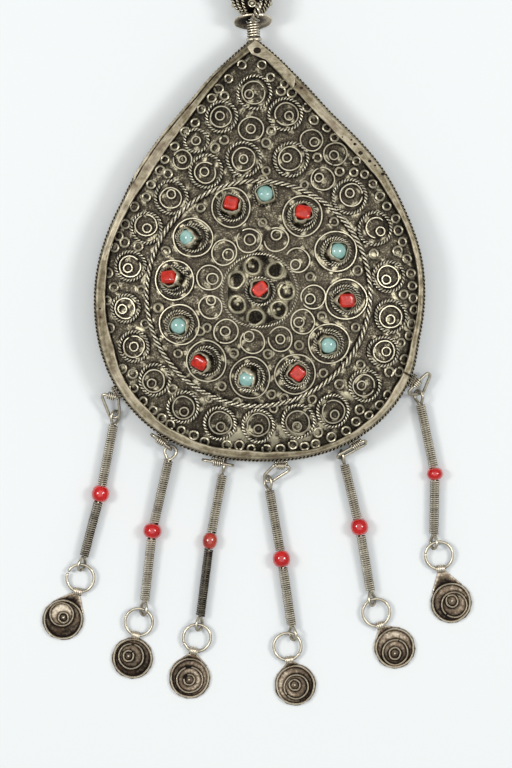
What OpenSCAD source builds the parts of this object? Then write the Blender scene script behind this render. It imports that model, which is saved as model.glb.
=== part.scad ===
// Fibula brooch: a domed teardrop plaque of sheet silver with soldered rings, thirteen stones
// in cups, a wound neck with a ball above it, and six bead drops that end in dished discs.
// The brooch lies face up. X runs across the plaque, Y towards its apex, Z up.
// The origin is the middle of the whole outline, on the surface that the brooch lies on.

/* [Plaque] */
// Width of the plaque at its widest
plaque_w = 90; // [84:1:98]
// Thickness of the sheet metal
sheet_t = 0.6; // [0.5:0.1:0.8]
// Height of the side wall
wall_h = 6.8; // [6:0.2:9]
// Height of the back plate above the surface, which leaves room for the dress pin
back_z = 3.6; // [3.2:0.1:4.2]
// Width of the flat band round the front
band_w = 2.7; // [2.4:0.1:3.2]
// Width and height of the edge wire round the back
edge_wire = 0.75; // [0.6:0.05:0.9]
// Rise of the front plate from its edge to its middle
crown_h = 7.5; // [5:0.5:9]
// Extra rise close to the edge, where the plate turns down
shoulder_h = 1.0; // [0.5:0.1:1.5]

/* [Boss and rope circle] */
// Radius of the central boss
boss_r = 9.9; // [9:0.1:10.5]
// Rise of the central boss
boss_h = 3.0; // [2:0.1:4]
// Radius of the rope circle that frames the stones
circle_r = 30; // [29:0.1:31]
// Height of the rope circle above the plate
circle_h = 0.8; // [0.5:0.1:1.2]

/* [Rings and stones] */
// Width of a rope ring's wire
rope_w = 1.0; // [0.8:0.05:1.2]
// Width of a plain ring's wire
plain_w = 0.7; // [0.5:0.05:0.8]
// How far the rings stand above the plate
ring_h = 0.6; // [0.4:0.1:0.9]
// Outer radius of a stone's cup
cup_r = 2.95; // [2.9:0.05:3.1]
// Height of a stone's cup above the plate
cup_h = 2.0; // [1.5:0.1:2.5]
// Wall thickness of a stone's cup
cup_t = 0.3; // [0.25:0.05:0.35]

/* [Finial] */
// Outer radius of the wound neck
neck_r = 1.8; // [1.6:0.1:2]
// Length of the wound neck
neck_l = 4.6; // [4:0.1:5.5]
// Radius of the saucer collar
collar_r = 5.2; // [4.6:0.1:5.6]
// Tilt of the saucer collar on its post, its upper edge towards the ball
collar_tilt = 20; // [0:1:22]
// Radius of the ball
ball_r = 6.1; // [5.6:0.1:6.4]
// Outer radius of the eye above the ball
eye_r = 4.2; // [3.8:0.1:4.6]
// Radius of the hole in that eye
eye_hole_r = 2.5; // [2:0.1:2.8]
// Thickness of that eye
eye_t = 2.6; // [2:0.1:3]

/* [Drops] */
// Radius of the wires of the links, drops and jump rings
wire_r = 0.4; // [0.35:0.01:0.42]
// Outer radius of the wound coils
coil_r = 1.3; // [1.1:0.05:1.4]
// Radius of the small eyes at the ends of each drop, to the middle of the wire
loop_r = 1.6; // [1.5:0.05:1.65]
// Radius of a jump ring, to the middle of the wire
jump_r = 3.7; // [3.5:0.1:3.9]
// Radius of a dished disc
disc_r = 5.75; // [5.2:0.05:6]
// Depth of the dish
dish_h = 1.5; // [1.2:0.1:1.8]

/* [Dress pin] */
// Length of the pin between its lug and its catch
pin_l = 50; // [40:1:56]
// Radius of the pin
pin_r = 0.8; // [0.7:0.05:0.9]

/* [Hidden] */
// Outline of the plaque: direction from its centre in degrees, and reach in half widths
OUTLINE = [
  [91.4, 1.539], [96, 1.449], [102, 1.350], [110, 1.231], [120, 1.135], [135, 1.045], [150, 0.994],
  [180, 1.000], [210, 1.039], [225, 1.052], [240, 1.047], [270, 1.021], [300, 1.057], [315, 1.064],
  [330, 1.048], [345, 1.002], [375, 0.999], [390, 1.009], [405, 1.051], [420, 1.111], [430, 1.183],
  [440, 1.320], [446, 1.431], [451.4, 1.539]
];
LAST = len(OUTLINE) - 1;
APEX = OUTLINE[0][0];
STEP = 6;

// Stones clockwise from the top, the boss last: direction and distance from the plaque's centre in
// mm at the usual width, and whether it is coral
STONES = [
  [87.3, 26.2, false], [60.8, 23.2, true], [28, 23, false], [354.8, 23.1, true],
  [323, 23.1, false], [293.1, 24, true], [263.4, 23.2, false], [232.4, 23.5, true],
  [202.2, 23.3, false], [172.3, 23.1, true], [141.2, 23, false], [108.9, 23.8, true],
  [90, 0, true]
];

// Large rings outside the rope circle: x, y and outer diameter in mm at the usual width
MOTIFS = [
  [-1.6, 53.5, 9.7], [-10.3, 47.0, 9.2], [6.7, 47.7, 9.6], [-17.1, 40.6, 7.4], [-14.4, 32.3, 9.6],
  [-4.4, 35.5, 9.8], [8.2, 35.5, 9.8], [-23.8, 25.3, 9.6], [24.0, 25.5, 9.8], [-30.4, 17.1, 9.2],
  [30.8, 17.0, 9.6], [-34.7, 6.9, 8.9], [34.4, 4.1, 9.2], [-36.0, -4.5, 8.5], [35.1, -6.5, 9.3],
  [-33.8, -14.7, 8.9], [33.0, -16.0, 8.9], [-28.2, -23.6, 9.2], [28.1, -25.1, 9.2],
  [-20.6, -30.9, 9.2], [19.6, -31.9, 9.4], [-10.7, -35.3, 9.4], [10.3, -34.7, 9.6],
  [-0.4, -35.9, 9.4], [-2.4, 43.7, 6.8], [13.7, 40.7, 6.4], [20.2, 37.0, 6.6], [16.8, 30.2, 6.6]
];

// Rings inside the rope circle: x, y and outer diameter in mm at the usual width
RINGS = [
  [-9.6, 10.4, 6.6], [-3.0, 13.6, 6.6], [4.3, 13.9, 6.6], [10.1, 8.4, 6.6], [-13.5, 3.7, 6.6],
  [-13.2, -4.2, 6.6], [14.2, -1.5, 6.6], [11.4, -8.1, 6.6], [-9.1, -10.7, 6.6],
  [-2.0, -13.4, 6.6], [5.4, -12.7, 6.6]
];

// Where each drop hangs: direction of its staple from the plaque's centre, clearance from the
// edge wire in mm, turn of the staple and tilt of the link in degrees
HANGERS = [
  [214.9, 2.1, -17, 22], [236.5, 1.2, -38, 82], [256.0, 1.2, -11, 90],
  [276.9, 1.2, -4, 24], [302.3, 1.2, 29, 60], [329.9, 1.9, 45, 38]
];
// The bends of each link in its own plane: the two bends beside the staple and the far bend,
// each as along, out and radius. A long oval link has no far bend.
LINKS = [
  [[-1.5, 0.8, 0.8], [1.5, 0.8, 0.8], [2.0, 4.4, 1.5]],
  [[-2.2, 1, 1], [2.4, 1, 1]],
  [[-3, 1.05, 1.05], [3.2, 1.05, 1.05]],
  [[-1.5, 0.8, 0.8], [1.5, 0.8, 0.8], [-2.9, 3.6, 1.4]],
  [[-5, 1.05, 1.05], [1.6, 1.05, 1.05]],
  [[-2.6, 0.85, 0.85], [3.3, 0.85, 0.85], [-0.6, 2.7, 1.1]]
];
// The upper eye of each drop: along the staple, out from it, height, and roll from flat
EYES = [
  [2.6, 5.1, 2.2, 128], [3.7, 0.7, 3.2, 168], [1.95, 0.7, 2.1, 90],
  [-3.2, 4.6, 2.1, 56], [-4.8, 0.9, 2.1, 84], [-2.1, 2.9, 2.4, 50]
];
// Each drop's lean from straight down in degrees, and length in mm: the bar above the bead, the
// bar below it, then the lean of the jump ring, of the bail and of the disc, and the disc's reach
BARS = [
  [-10.8, 21.2, -14.8, 19.9, -5.9, -10.6, -28.0, 8.6],
  [-12.9, 22.0, -6.4, 21.4, -20.9, -14.2, -7.5, 6.3],
  [-10.8, 20.5, -7.3, 22.9, -9.7, -15.2, -7.9, 7.4],
  [10.0, 21.2, 8.5, 20.6, -23.0, 8.1, 13.5, 7.0],
  [13.5, 19.7, 9.8, 20.0, 18.7, 16.7, 33.2, 7.3],
  [11.8, 21.5, -0.9, 18.7, 22.8, 6.5, 17.7, 9.6]
];
// The glass beads: half the width, half the length
BEADS = [[2.4, 2.15], [2.5, 1.95], [2.05, 2.1], [2.4, 2.15], [2.45, 2.15], [2.2, 1.6]];

// The rings on each disc, from its centre in mm: large ring x, y and small ring x, y
DISC_RINGS = [
  [-0.4, 1.4, 0.1, 0.5], [-0.4, 0.5, -1.1, 0.6], [0, -0.5, -0.1, -0.5],
  [0.2, -0.5, -0.2, 0], [0.1, -1.2, 0, -1.5], [0.8, -0.6, 0.2, 0.4]
];

$fn = 48;
SILVER = "#A39D8C";
DARK_SILVER = "#6E675C";
CORAL = "#D0391F";
TURQUOISE = "#8CC6C2";
GLASS = "#C4182A";

half = plaque_w / 2;
// Places measured on the usual plaque grow and shrink with it
grow = plaque_w / 90;
rim_z = back_z + wall_h;
// The plate's edge is tucked under the band by this much
tuck = 0.9;
plate_inset = edge_wire + band_w - tuck;
// The plate is this far below the top of the band at its own edge
plate_edge_z = rim_z - sheet_t - 1.05;
// Outer diameters of the rings soldered round the stones and round the coral on the boss
stone_ring_d = 8.6;
boss_ring_d = 8.1;
// Motifs wider than this have rope outside, and a plain ring of this diameter inside it
rope_motif_d = 7;
motif_inner_d = 6.4;
// The small ring inside a plain ring
small_inner_d = 2.8;
// How deep a ring or a cup sits in the plate
sink = 0.35;
post_z = back_z + wall_h / 2 - 0.3;
post_r = 0.7;
post_hole_r = 0.85;
socket_depth = 2.9;
socket_r = 1.2;
finial_lean = 3;
// How far the wound neck reaches over the tip of the edge wire
neck_foot = 0.65;
// Places along the finial, from the tip of the plaque
collar_s = 3.9;
ball_s = 10.9;
eye_s = ball_s + ball_r + 1 + eye_r;
// The staples that carry the links
staple_z = back_z + 0.8;
staple_r = 1.1;
staple_hole_r = 0.62;
staple_l = 2.7;
// Height of the lower eyes, and of the bails where they hold the jump rings
low_eye_z = 1.9;
low_roll = 60;
// The straight part of a drop's wire, a little thinner than its eyes
bar_r = wire_r - 0.04;
EYE_SIDES = 14;
bail_z = 1.15;
bail_r = 1.1;
bail_hole_r = 0.68;
bail_w = 2.2;
// Clearance between a wire and the coil or bead threaded on it
slack = 0.15;
// Clearance between a bead and the coils at its ends
bead_gap = 0.3;
bead_hole_r = 0.75;
// The pin's axis, and the parts of its lug and catch
pin_y = 12;
pin_z = 1.5;
lug_w = 4;
lug_t = 2;

// Outline
function dir(a) = [cos(a), sin(a)];
// A direction given as a lean from straight down, positive to the right
function lean(a) = [sin(a), -cos(a)];
function turn(a) = a < APEX ? turn(a + 360) : a > APEX + 360 ? turn(a - 360) : a;
function row_of(a) = max([for (i = [0 : LAST - 1]) if (OUTLINE[i][0] <= a) i]);
function slope(i) = let (p = OUTLINE[max(i - 1, 0)], q = OUTLINE[min(i + 1, LAST)])
  (q[1] - p[1]) / (q[0] - p[0]);
// Reach of the outline in a direction: a cubic between the rows with the slopes above
function reach(direction) =
  let (
    a = turn(direction),
    i = row_of(a),
    p = OUTLINE[i],
    q = OUTLINE[i + 1],
    h = q[0] - p[0],
    t = (a - p[0]) / h
  )
  half * ((2 * t ^ 3 - 3 * t ^ 2 + 1) * p[1] + (t ^ 3 - 2 * t ^ 2 + t) * h * slope(i)
    + (3 * t ^ 2 - 2 * t ^ 3) * q[1] + (t ^ 3 - t ^ 2) * h * slope(i + 1));
// Reach of the outline moved inwards by d, which is longer where the edge runs slantwise
function inner_reach(a, d) =
  let (
    r = reach(a),
    change = max(abs(reach(a + 1) - r), abs(r - reach(a - 1))) * 180 / PI
  )
  r - d * sqrt(1 + (change / r) ^ 2);
function outline(d) = [for (k = [0 : 360 / STEP - 1])
  let (a = APEX + k * STEP) inner_reach(a, d) * dir(a)];

// Front plate surface
function boss_rise(r) = r < boss_r ? boss_h * (1 - (r / boss_r) ^ 3) : 0;
function plate_z(r, edge) = let (t = min(r / edge, 1))
  plate_edge_z + crown_h * (1 - t ^ 2) + shoulder_h * (1 - t ^ 10) + boss_rise(r);
function surface_z(x, y) = plate_z(norm([x, y]), inner_reach(atan2(y, x), plate_inset));
function ring_radii(edge, fine) = fine
  ? concat([for (r = [0.25, 0.5, 0.7, 0.85, 0.95, 1]) r * boss_r],
      [15, 20, 25, circle_r - 0.6, circle_r, circle_r + 0.6],
      [for (f = [0.3, 0.6, 0.85, 1]) circle_r + 0.6 + f * (edge - circle_r - 0.6)])
  : concat([0.5 * boss_r, boss_r, 20, circle_r], [for (f = [0.5, 1]) circle_r + f * (edge - circle_r)]);
function ridge(r, fine) = fine && r == circle_r ? circle_h : 0;
function plate_points(fine, drop) = concat(
  [[0, 0, plate_z(0, half) - drop]],
  [for (a = [APEX : STEP : APEX + 359]) let (edge = inner_reach(a, plate_inset))
    for (r = ring_radii(edge, fine))
      [r * cos(a), r * sin(a), plate_z(r, edge) + ridge(r, fine) - drop]]);
// Triangles of one side of the plate, numbered from first, seen from above when up is true
function plate_faces(first, rings, up) =
  let (n = 360 / STEP)
  [for (k = [0 : n - 1], j = [0 : rings - 1])
    let (
      a = first + 1 + k * rings + j,
      b = first + 1 + (k + 1) % n * rings + j
    )
    each j == 0 ? [up ? [first, b, a] : [first, a, b]]
      : [up ? [a - 1, b - 1, b] : [a - 1, b, b - 1], up ? [a - 1, b, a] : [a - 1, a, b]]];
function rim_faces(first, rings, second, second_rings) =
  let (n = 360 / STEP)
  [for (k = [0 : n - 1])
    let (
      a = first + (k + 1) * rings,
      b = first + ((k + 1) % n + 1) * rings,
      c = second + (k + 1) * second_rings,
      d = second + ((k + 1) % n + 1) * second_rings
    )
    each [[a, b, d], [a, d, c]]];

// Drops, worked out from the staple down
function staple_at(i) = let (h = HANGERS[i]) (reach(h[0]) + h[1]) * dir(h[0]);
function upper_eye(i) = let (s = staple_at(i), e = EYES[i], t = HANGERS[i][2])
  concat(s + e[0] * dir(t) + e[1] * dir(t - 90), e[2] + back_z - 3.6);
function bead_at(i) = let (e = upper_eye(i))
  concat([e.x, e.y] + BARS[i][1] * lean(BARS[i][0]), BEADS[i][0] + 0.03);
function lower_eye(i) = let (b = bead_at(i))
  concat([b.x, b.y] + BARS[i][3] * lean(BARS[i][2]), low_eye_z);
function jump_at(i) = let (e = lower_eye(i)) [e.x, e.y] + jump_r * lean(BARS[i][4]);
function bail_at(i) = jump_at(i) + jump_r * lean(BARS[i][5]);
function disc_at(i) = bail_at(i) + BARS[i][7] * lean(BARS[i][6]);

// Finial, worked out from the tip of the plaque
tip = reach(APEX) * dir(APEX);
eye_at = tip + eye_s * dir(90 + finial_lean);

// The outline of the whole brooch, which fixes the origin
discs = [for (i = [0 : 5]) disc_at(i)];
left = min([for (d = discs) d.x]) - disc_r;
right = max([for (d = discs) d.x]) + disc_r;
bottom = min([for (d = discs) d.y]) - disc_r;
top = eye_at.y + eye_r;
origin = [(left + right) / 2, (bottom + top) / 2, 0];

// Shared shapes
module tube(outer, inner, h) {
  difference() {
    cylinder(h = h, r = outer);
    translate([0, 0, -1]) cylinder(h = h + 2, r = inner);
  }
}
module wire_ring(r, wire) {
  rotate_extrude() translate([r, 0]) circle(r = wire, $fn = 24);
}
// Places its children with their Z axis from one point towards another
module aim(from, to) {
  v = to - from;
  translate(from) rotate([0, acos(v.z / norm(v)), atan2(v.y, v.x)]) children();
}
// Places its children on the front plate, square to its surface
module on_plate(x, y) {
  e = 0.5;
  dx = (surface_z(x + e, y) - surface_z(x - e, y)) / (2 * e);
  dy = (surface_z(x, y + e) - surface_z(x, y - e)) / (2 * e);
  translate([x, y, surface_z(x, y)]) rotate([0, atan(norm([dx, dy])), atan2(-dy, -dx)]) children();
}
// A ring of wire soldered to the plate, sunk a little into it
module soldered_ring(d, wire) {
  translate([0, 0, -sink]) tube(d / 2, d / 2 - wire, ring_h + sink);
}
// Places its children on the finial's axis, with Z along it
module on_post(s) {
  translate([tip.x, tip.y, post_z]) rotate([0, 0, finial_lean]) rotate([-90, 0, 0])
    translate([0, 0, s]) children();
}

// Case: back plate, side wall, flat band, edge wire, staples, pin fittings and socket
module prism(points, z, h) {
  translate([0, 0, z]) linear_extrude(height = h) polygon(points);
}
module staple(i) {
  s = staple_at(i);
  out = atan2(s.y, s.x);
  translate([s.x, s.y, staple_z]) {
    difference() {
      union() {
        rotate([0, 90, HANGERS[i][2]]) cylinder(h = staple_l, r = staple_r, center = true);
        // Solder foot between the staple and the edge wire
        rotate([0, 0, out]) translate([-HANGERS[i][1] - 1, -0.7, -0.6])
          cube([HANGERS[i][1] + 1, 1.4, 1.2]);
      }
      rotate([0, 90, HANGERS[i][2]]) cylinder(h = 3 * staple_l, r = staple_hole_r, center = true);
    }
  }
}
module pin_lug() {
  translate([-pin_l / 2 - lug_t, pin_y - lug_w / 2, 0]) difference() {
    cube([lug_t, lug_w, back_z + sheet_t / 2]);
    translate([-1, lug_w / 2, pin_z]) rotate([0, 90, 0]) cylinder(h = lug_t + 2, r = pin_r + 0.12);
  }
}
module pin_catch() {
  translate([pin_l / 2 - lug_t, pin_y - lug_w / 2, 0]) difference() {
    cube([lug_t, lug_w, back_z + sheet_t / 2]);
    translate([-1, lug_w / 2, pin_z]) rotate([0, 90, 0]) cylinder(h = lug_t + 2, r = pin_r + 0.12);
    // The open side, where the pin slips out
    translate([-1, -1, pin_z - pin_r - 0.12]) cube([lug_t + 2, lug_w / 2 + 1, 2 * pin_r + 0.24]);
  }
}
module case() {
  color(DARK_SILVER) union() {
    difference() {
      union() {
        difference() {
          prism(outline(edge_wire), back_z, wall_h);
          prism(outline(edge_wire + sheet_t), back_z + sheet_t, wall_h - 2 * sheet_t);
          prism(outline(edge_wire + band_w), back_z + sheet_t, wall_h);
        }
        difference() {
          prism(outline(0), back_z, edge_wire);
          prism(outline(edge_wire + 0.2), back_z - 1, edge_wire + 2);
        }
        on_post(-socket_depth - 0.8) cylinder(h = socket_depth, r = socket_r);
      }
      on_post(-socket_depth) cylinder(h = socket_depth + 2, r = post_r + 0.06);
    }
    for (i = [0 : 5]) staple(i);
    pin_lug();
    pin_catch();
  }
}

module front_plate() {
  top_rings = len(ring_radii(half, true));
  under_rings = len(ring_radii(half, false));
  above = plate_points(true, 0);
  below = plate_points(false, sheet_t);
  color(SILVER) union() {
    polyhedron(
      points = concat(above, below),
      faces = concat(
        plate_faces(0, top_rings, true),
        plate_faces(len(above), under_rings, false),
        rim_faces(0, top_rings, len(above), under_rings)
      ),
      convexity = 6
    );
    for (m = MOTIFS) on_plate(m.x * grow, m.y * grow) {
      soldered_ring(m[2], m[2] > rope_motif_d ? rope_w : plain_w);
      soldered_ring(m[2] > rope_motif_d ? motif_inner_d : small_inner_d, plain_w);
    }
    for (m = RINGS) on_plate(m.x * grow, m.y * grow) {
      soldered_ring(m[2], plain_w);
      soldered_ring(small_inner_d, plain_w);
    }
    for (s = STONES) {
      p = s[1] * grow * dir(s[0]);
      on_plate(p.x, p.y) {
        soldered_ring(s[1] > 0 ? stone_ring_d : boss_ring_d, rope_w);
        translate([0, 0, -sink]) tube(cup_r, cup_r - cup_t, cup_h + sink);
      }
    }
  }
}

// Stones, seen square to the plate with their backs just above it
module coral() {
  r = 2.05;
  color(CORAL) difference() {
    translate([0, 0, 1.4]) rotate([90, 0, 25]) rotate_extrude() polygon([
      [0, -2.1], [1.1, -2.1], [1.75, -1.75], [r, -1], [r, 1], [1.75, 1.75], [1.1, 2.1], [0, 2.1]
    ]);
    translate([-5, -5, -4.7]) cube([10, 10, 5]);
  }
}
module turquoise() {
  color(TURQUOISE) intersection() {
    translate([0, 0, 0.6]) sphere(r = 2.6);
    translate([0, 0, 0.3]) cylinder(h = 4, r = 2.3);
  }
}
module stone(i) {
  s = STONES[i];
  p = s[1] * grow * dir(s[0]);
  on_plate(p.x, p.y) {
    if (s[2]) coral();
    else turquoise();
  }
}

// Finial
module neck_coil() {
  color(SILVER) on_post(-neck_foot) tube(neck_r, post_hole_r, neck_l - 0.1 + neck_foot);
}
module collar() {
  hole = neck_r / cos(collar_tilt) + 0.2;
  color(SILVER) on_post(collar_s) rotate([collar_tilt, 0, 0]) translate([0, 0, -0.25])
    difference() {
      union() {
        cylinder(h = 0.45, r = collar_r - 0.4);
        wire_ring(collar_r - 0.35, 0.35);
      }
      translate([0, 0, -2]) cylinder(h = 5, r = hole);
    }
}
module ball() {
  color(DARK_SILVER) on_post(ball_s) difference() {
    union() {
      sphere(r = ball_r - 0.35);
      for (z = [-4.4, -2.6, 2.6, 4.4])
        translate([0, 0, z]) wire_ring(sqrt((ball_r - 0.4) ^ 2 - z ^ 2), 0.4);
    }
    sphere(r = ball_r - 1.1);
    cylinder(h = 3 * ball_r, r = post_hole_r, center = true);
  }
}
module top_eye() {
  color(SILVER) {
    difference() {
      union() {
        on_post(-socket_depth + 0.1) cylinder(h = socket_depth + eye_s - 2.9, r = post_r);
        translate([eye_at.x, eye_at.y, post_z - eye_t / 2]) cylinder(h = eye_t, r = eye_r);
      }
      translate([eye_at.x, eye_at.y, 0]) cylinder(h = 4 * post_z, r = eye_hole_r);
    }
  }
}

// Dress pin across the back, with a small head outside the lug
module dress_pin() {
  color(SILVER) translate([-pin_l / 2 - lug_t - 1.2, pin_y, pin_z]) rotate([0, 90, 0]) {
    cylinder(h = pin_l + lug_t + 2.4, r = pin_r);
    cylinder(h = 1, r = 1.35);
  }
}

// Links: a wire bent round the bends of its row, through the staple
function tangent(p, q) = let (v = [q[0] - p[0], q[1] - p[1]])
  atan2(v.y, v.x) - acos((p[2] - q[2]) / norm(v));
function belt(c) = let (n = len(c)) [for (i = [0 : n - 1])
  let (
    before = tangent(c[(i + n - 1) % n], c[i]),
    after = tangent(c[i], c[(i + 1) % n]),
    sweep = after < before ? after + 360 - before : after - before,
    steps = max(3, round(sweep / 30))
  )
  for (j = [0 : steps]) [c[i][0], c[i][1]] + c[i][2] * dir(before + sweep * j / steps)];
// A six-sided wire along a closed flat path
module flat_wire(path, r) {
  n = len(path);
  sides = 6;
  points = [for (i = [0 : n - 1])
    let (
      p = path[i],
      v = path[(i + 1) % n] - path[(i + n - 1) % n],
      side = [v.y, -v.x] / norm(v)
    )
    for (j = [0 : sides - 1])
      let (a = 360 * j / sides) [p.x + r * cos(a) * side.x, p.y + r * cos(a) * side.y, r * sin(a)]];
  faces = [for (i = [0 : n - 1], j = [0 : sides - 1])
    let (
      a = i * sides + j,
      b = i * sides + (j + 1) % sides,
      c = (i + 1) % n * sides + j,
      d = (i + 1) % n * sides + (j + 1) % sides
    )
    each [[a, b, d], [a, d, c]]];
  polyhedron(points = points, faces = faces, convexity = 6);
}
module link(i) {
  s = staple_at(i);
  h = HANGERS[i];
  // Along the staple is X and out from it is Y, which dips by the tilt
  color(SILVER) translate([s.x, s.y, staple_z]) rotate([0, 0, h[2]]) rotate([h[3], 0, 0])
    mirror([0, 1, 0]) flat_wire(belt(LINKS[i]), wire_r);
}

// Drops
module small_eye(roll) {
  rotate([0, 0, roll]) rotate([0, 90, 0])
    flat_wire([for (a = [0 : 360 / EYE_SIDES : 359]) loop_r * dir(a)], wire_r);
}
module drop_wire(i) {
  e = upper_eye(i);
  b = bead_at(i);
  f = lower_eye(i);
  color(SILVER) union() {
    aim(e, b) {
      small_eye(EYES[i][3]);
      translate([0, 0, loop_r]) cylinder(h = norm(b - e) - loop_r, r = bar_r);
    }
    translate(b) sphere(r = wire_r);
    aim(f, b) {
      small_eye(i % 2 == 0 ? low_roll : -low_roll);
      translate([0, 0, loop_r]) cylinder(h = norm(b - f) - loop_r, r = bar_r);
    }
  }
}
module coil(from, bead, bead_half) {
  start = loop_r + wire_r + 0.1;
  aim(from, bead) translate([0, 0, start])
    tube(coil_r, wire_r + slack, norm(bead - from) - bead_half - bead_gap - start);
}
module coils(i) {
  color(DARK_SILVER) {
    coil(upper_eye(i), bead_at(i), BEADS[i][1]);
    coil(lower_eye(i), bead_at(i), BEADS[i][1]);
  }
}
module bead(i) {
  b = bead_at(i);
  r = BEADS[i][0];
  l = BEADS[i][1];
  u = (b - upper_eye(i)) / norm(b - upper_eye(i));
  v = (lower_eye(i) - b) / norm(lower_eye(i) - b);
  color(GLASS) difference() {
    aim(b, b + u + v) rotate_extrude() polygon(concat(
      [[0, -l]],
      [for (a = [-75 : 15 : 75]) [0.35 * r + 0.65 * r * cos(a), l * sin(a) / sin(75)]],
      [[0, l]]
    ));
    aim(b, b + u + v) cylinder(h = 3 * l, r = bead_hole_r, center = true);
  }
}
module jump_ring(i) {
  e = lower_eye(i);
  j = jump_at(i);
  l = bail_at(i);
  g = l - [e.x, e.y];
  dip = (e.z - bail_z) / norm(g);
  z = e.z - dip * (j - [e.x, e.y]) * g / norm(g);
  color(SILVER) translate([j.x, j.y, z]) rotate([0, atan(dip), atan2(g.y, g.x)])
    wire_ring(jump_r, wire_r);
}
// A dished disc with a raised edge, two rings and a folded bail
module disc(i) {
  c = disc_at(i);
  l = bail_at(i);
  d = c - l;
  r = DISC_RINGS[i];
  color(SILVER) union() {
    translate([c.x, c.y, 0]) {
      rotate_extrude() polygon([
        [0, 0], [disc_r - 1.4, 0], [disc_r - 0.5, 0.5], [disc_r, dish_h - 0.3], [disc_r - 0.1, dish_h],
        [disc_r - 0.5, dish_h], [disc_r - 0.9, 0.9], [disc_r - 1.6, 0.5], [0, 0.5]
      ]);
      translate([r[0], r[1], 0.3]) tube(3.3, 2.65, 0.8);
      translate([r[2], r[3], 0.3]) tube(1.4, 0.8, 0.7);
    }
    // Bail round the jump ring
    translate([l.x, l.y, bail_z]) rotate([90, 0, atan2(l.y - jump_at(i).y, l.x - jump_at(i).x)])
      translate([0, 0, -bail_w / 2]) tube(bail_r, bail_hole_r, bail_w);
    // Neck between the bail and the disc
    translate([l.x, l.y, 0.3]) rotate([0, 0, atan2(d.y, d.x)]) linear_extrude(height = 0.8)
      polygon([[0.85, -1], [0.85, 1], [norm(d) - disc_r + 0.8, 2.4], [norm(d) - disc_r + 0.8, -2.4]]);
  }
}

module placed() {
  translate(-origin) children();
}

placed() case();
placed() front_plate();
placed() stone(0);  // stone_1
placed() stone(1);  // stone_2
placed() stone(2);  // stone_3
placed() stone(3);  // stone_4
placed() stone(4);  // stone_5
placed() stone(5);  // stone_6
placed() stone(6);  // stone_7
placed() stone(7);  // stone_8
placed() stone(8);  // stone_9
placed() stone(9);  // stone_10
placed() stone(10);  // stone_11
placed() stone(11);  // stone_12
placed() stone(12);  // stone_13
placed() neck_coil();
placed() collar();
placed() ball();
placed() top_eye();
placed() dress_pin();
placed() link(0);  // link_1
placed() drop_wire(0);  // drop_wire_1
placed() coils(0);  // coils_1
placed() bead(0);  // bead_1
placed() jump_ring(0);  // jump_ring_1
placed() disc(0);  // disc_1
placed() link(1);  // link_2
placed() drop_wire(1);  // drop_wire_2
placed() coils(1);  // coils_2
placed() bead(1);  // bead_2
placed() jump_ring(1);  // jump_ring_2
placed() disc(1);  // disc_2
placed() link(2);  // link_3
placed() drop_wire(2);  // drop_wire_3
placed() coils(2);  // coils_3
placed() bead(2);  // bead_3
placed() jump_ring(2);  // jump_ring_3
placed() disc(2);  // disc_3
placed() link(3);  // link_4
placed() drop_wire(3);  // drop_wire_4
placed() coils(3);  // coils_4
placed() bead(3);  // bead_4
placed() jump_ring(3);  // jump_ring_4
placed() disc(3);  // disc_4
placed() link(4);  // link_5
placed() drop_wire(4);  // drop_wire_5
placed() coils(4);  // coils_5
placed() bead(4);  // bead_5
placed() jump_ring(4);  // jump_ring_5
placed() disc(4);  // disc_5
placed() link(5);  // link_6
placed() drop_wire(5);  // drop_wire_6
placed() coils(5);  // coils_6
placed() bead(5);  // bead_6
placed() jump_ring(5);  // jump_ring_6
placed() disc(5);  // disc_6
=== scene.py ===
# Fibula brooch: an aged silver plaque with soldered rings, stones in cups, a wound neck and six drops
import bpy
import numpy as np
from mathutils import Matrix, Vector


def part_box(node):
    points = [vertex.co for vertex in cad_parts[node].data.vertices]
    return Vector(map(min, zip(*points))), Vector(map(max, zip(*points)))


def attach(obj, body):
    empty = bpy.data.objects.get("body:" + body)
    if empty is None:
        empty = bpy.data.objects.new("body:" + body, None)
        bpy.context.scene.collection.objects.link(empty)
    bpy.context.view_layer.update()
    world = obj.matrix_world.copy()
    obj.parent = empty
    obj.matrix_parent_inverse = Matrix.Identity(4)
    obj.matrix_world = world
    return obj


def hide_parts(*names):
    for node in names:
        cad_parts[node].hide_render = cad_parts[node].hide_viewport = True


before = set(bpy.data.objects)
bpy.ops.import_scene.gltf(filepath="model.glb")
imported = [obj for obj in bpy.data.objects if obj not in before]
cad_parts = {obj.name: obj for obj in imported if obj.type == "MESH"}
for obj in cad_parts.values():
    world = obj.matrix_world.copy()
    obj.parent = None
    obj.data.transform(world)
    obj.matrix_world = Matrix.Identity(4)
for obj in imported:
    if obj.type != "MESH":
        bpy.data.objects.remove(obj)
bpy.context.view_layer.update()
print("frame:", len(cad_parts), "nodes")

# Shapes are worked out in millimetres from the plaque's centre, where the coral on the boss sits
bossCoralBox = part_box("stone_13")
plaqueCentre = np.array((bossCoralBox[0] + bossCoralBox[1]) / 2) * 1000
plaqueCentre[2] = 0

# Places read from the photograph are in its pixels, and these turn them to millimetres
photo = {
    "mmPerPixel": 0.27,
    "plaqueCentre": (260.0, 292.0),
    "imageCentre": (256.0, 384.0),
    "imageHeight": 768,
}


def fromPhoto(x, y):
    cx, cy = photo["plaqueCentre"]
    return np.array([(x - cx), (cy - y)]) * photo["mmPerPixel"]


# Small helpers: a vector over its length, and directions in the plane from degrees

def unit(v):
    return v / np.linalg.norm(v, axis=-1, keepdims=True)


def direction(degrees):
    a = np.radians(degrees)
    return np.stack([np.cos(a), np.sin(a)], -1)


def leanFromDown(degrees):  # positive leans to the right
    a = np.radians(degrees)
    return np.array([np.sin(a), -np.cos(a)])


def withZ(xy, z):  # points in the plane given a height
    return np.concatenate([np.asarray(xy, float), np.broadcast_to(z, np.shape(xy)[:-1])[..., None]], -1)


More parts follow.
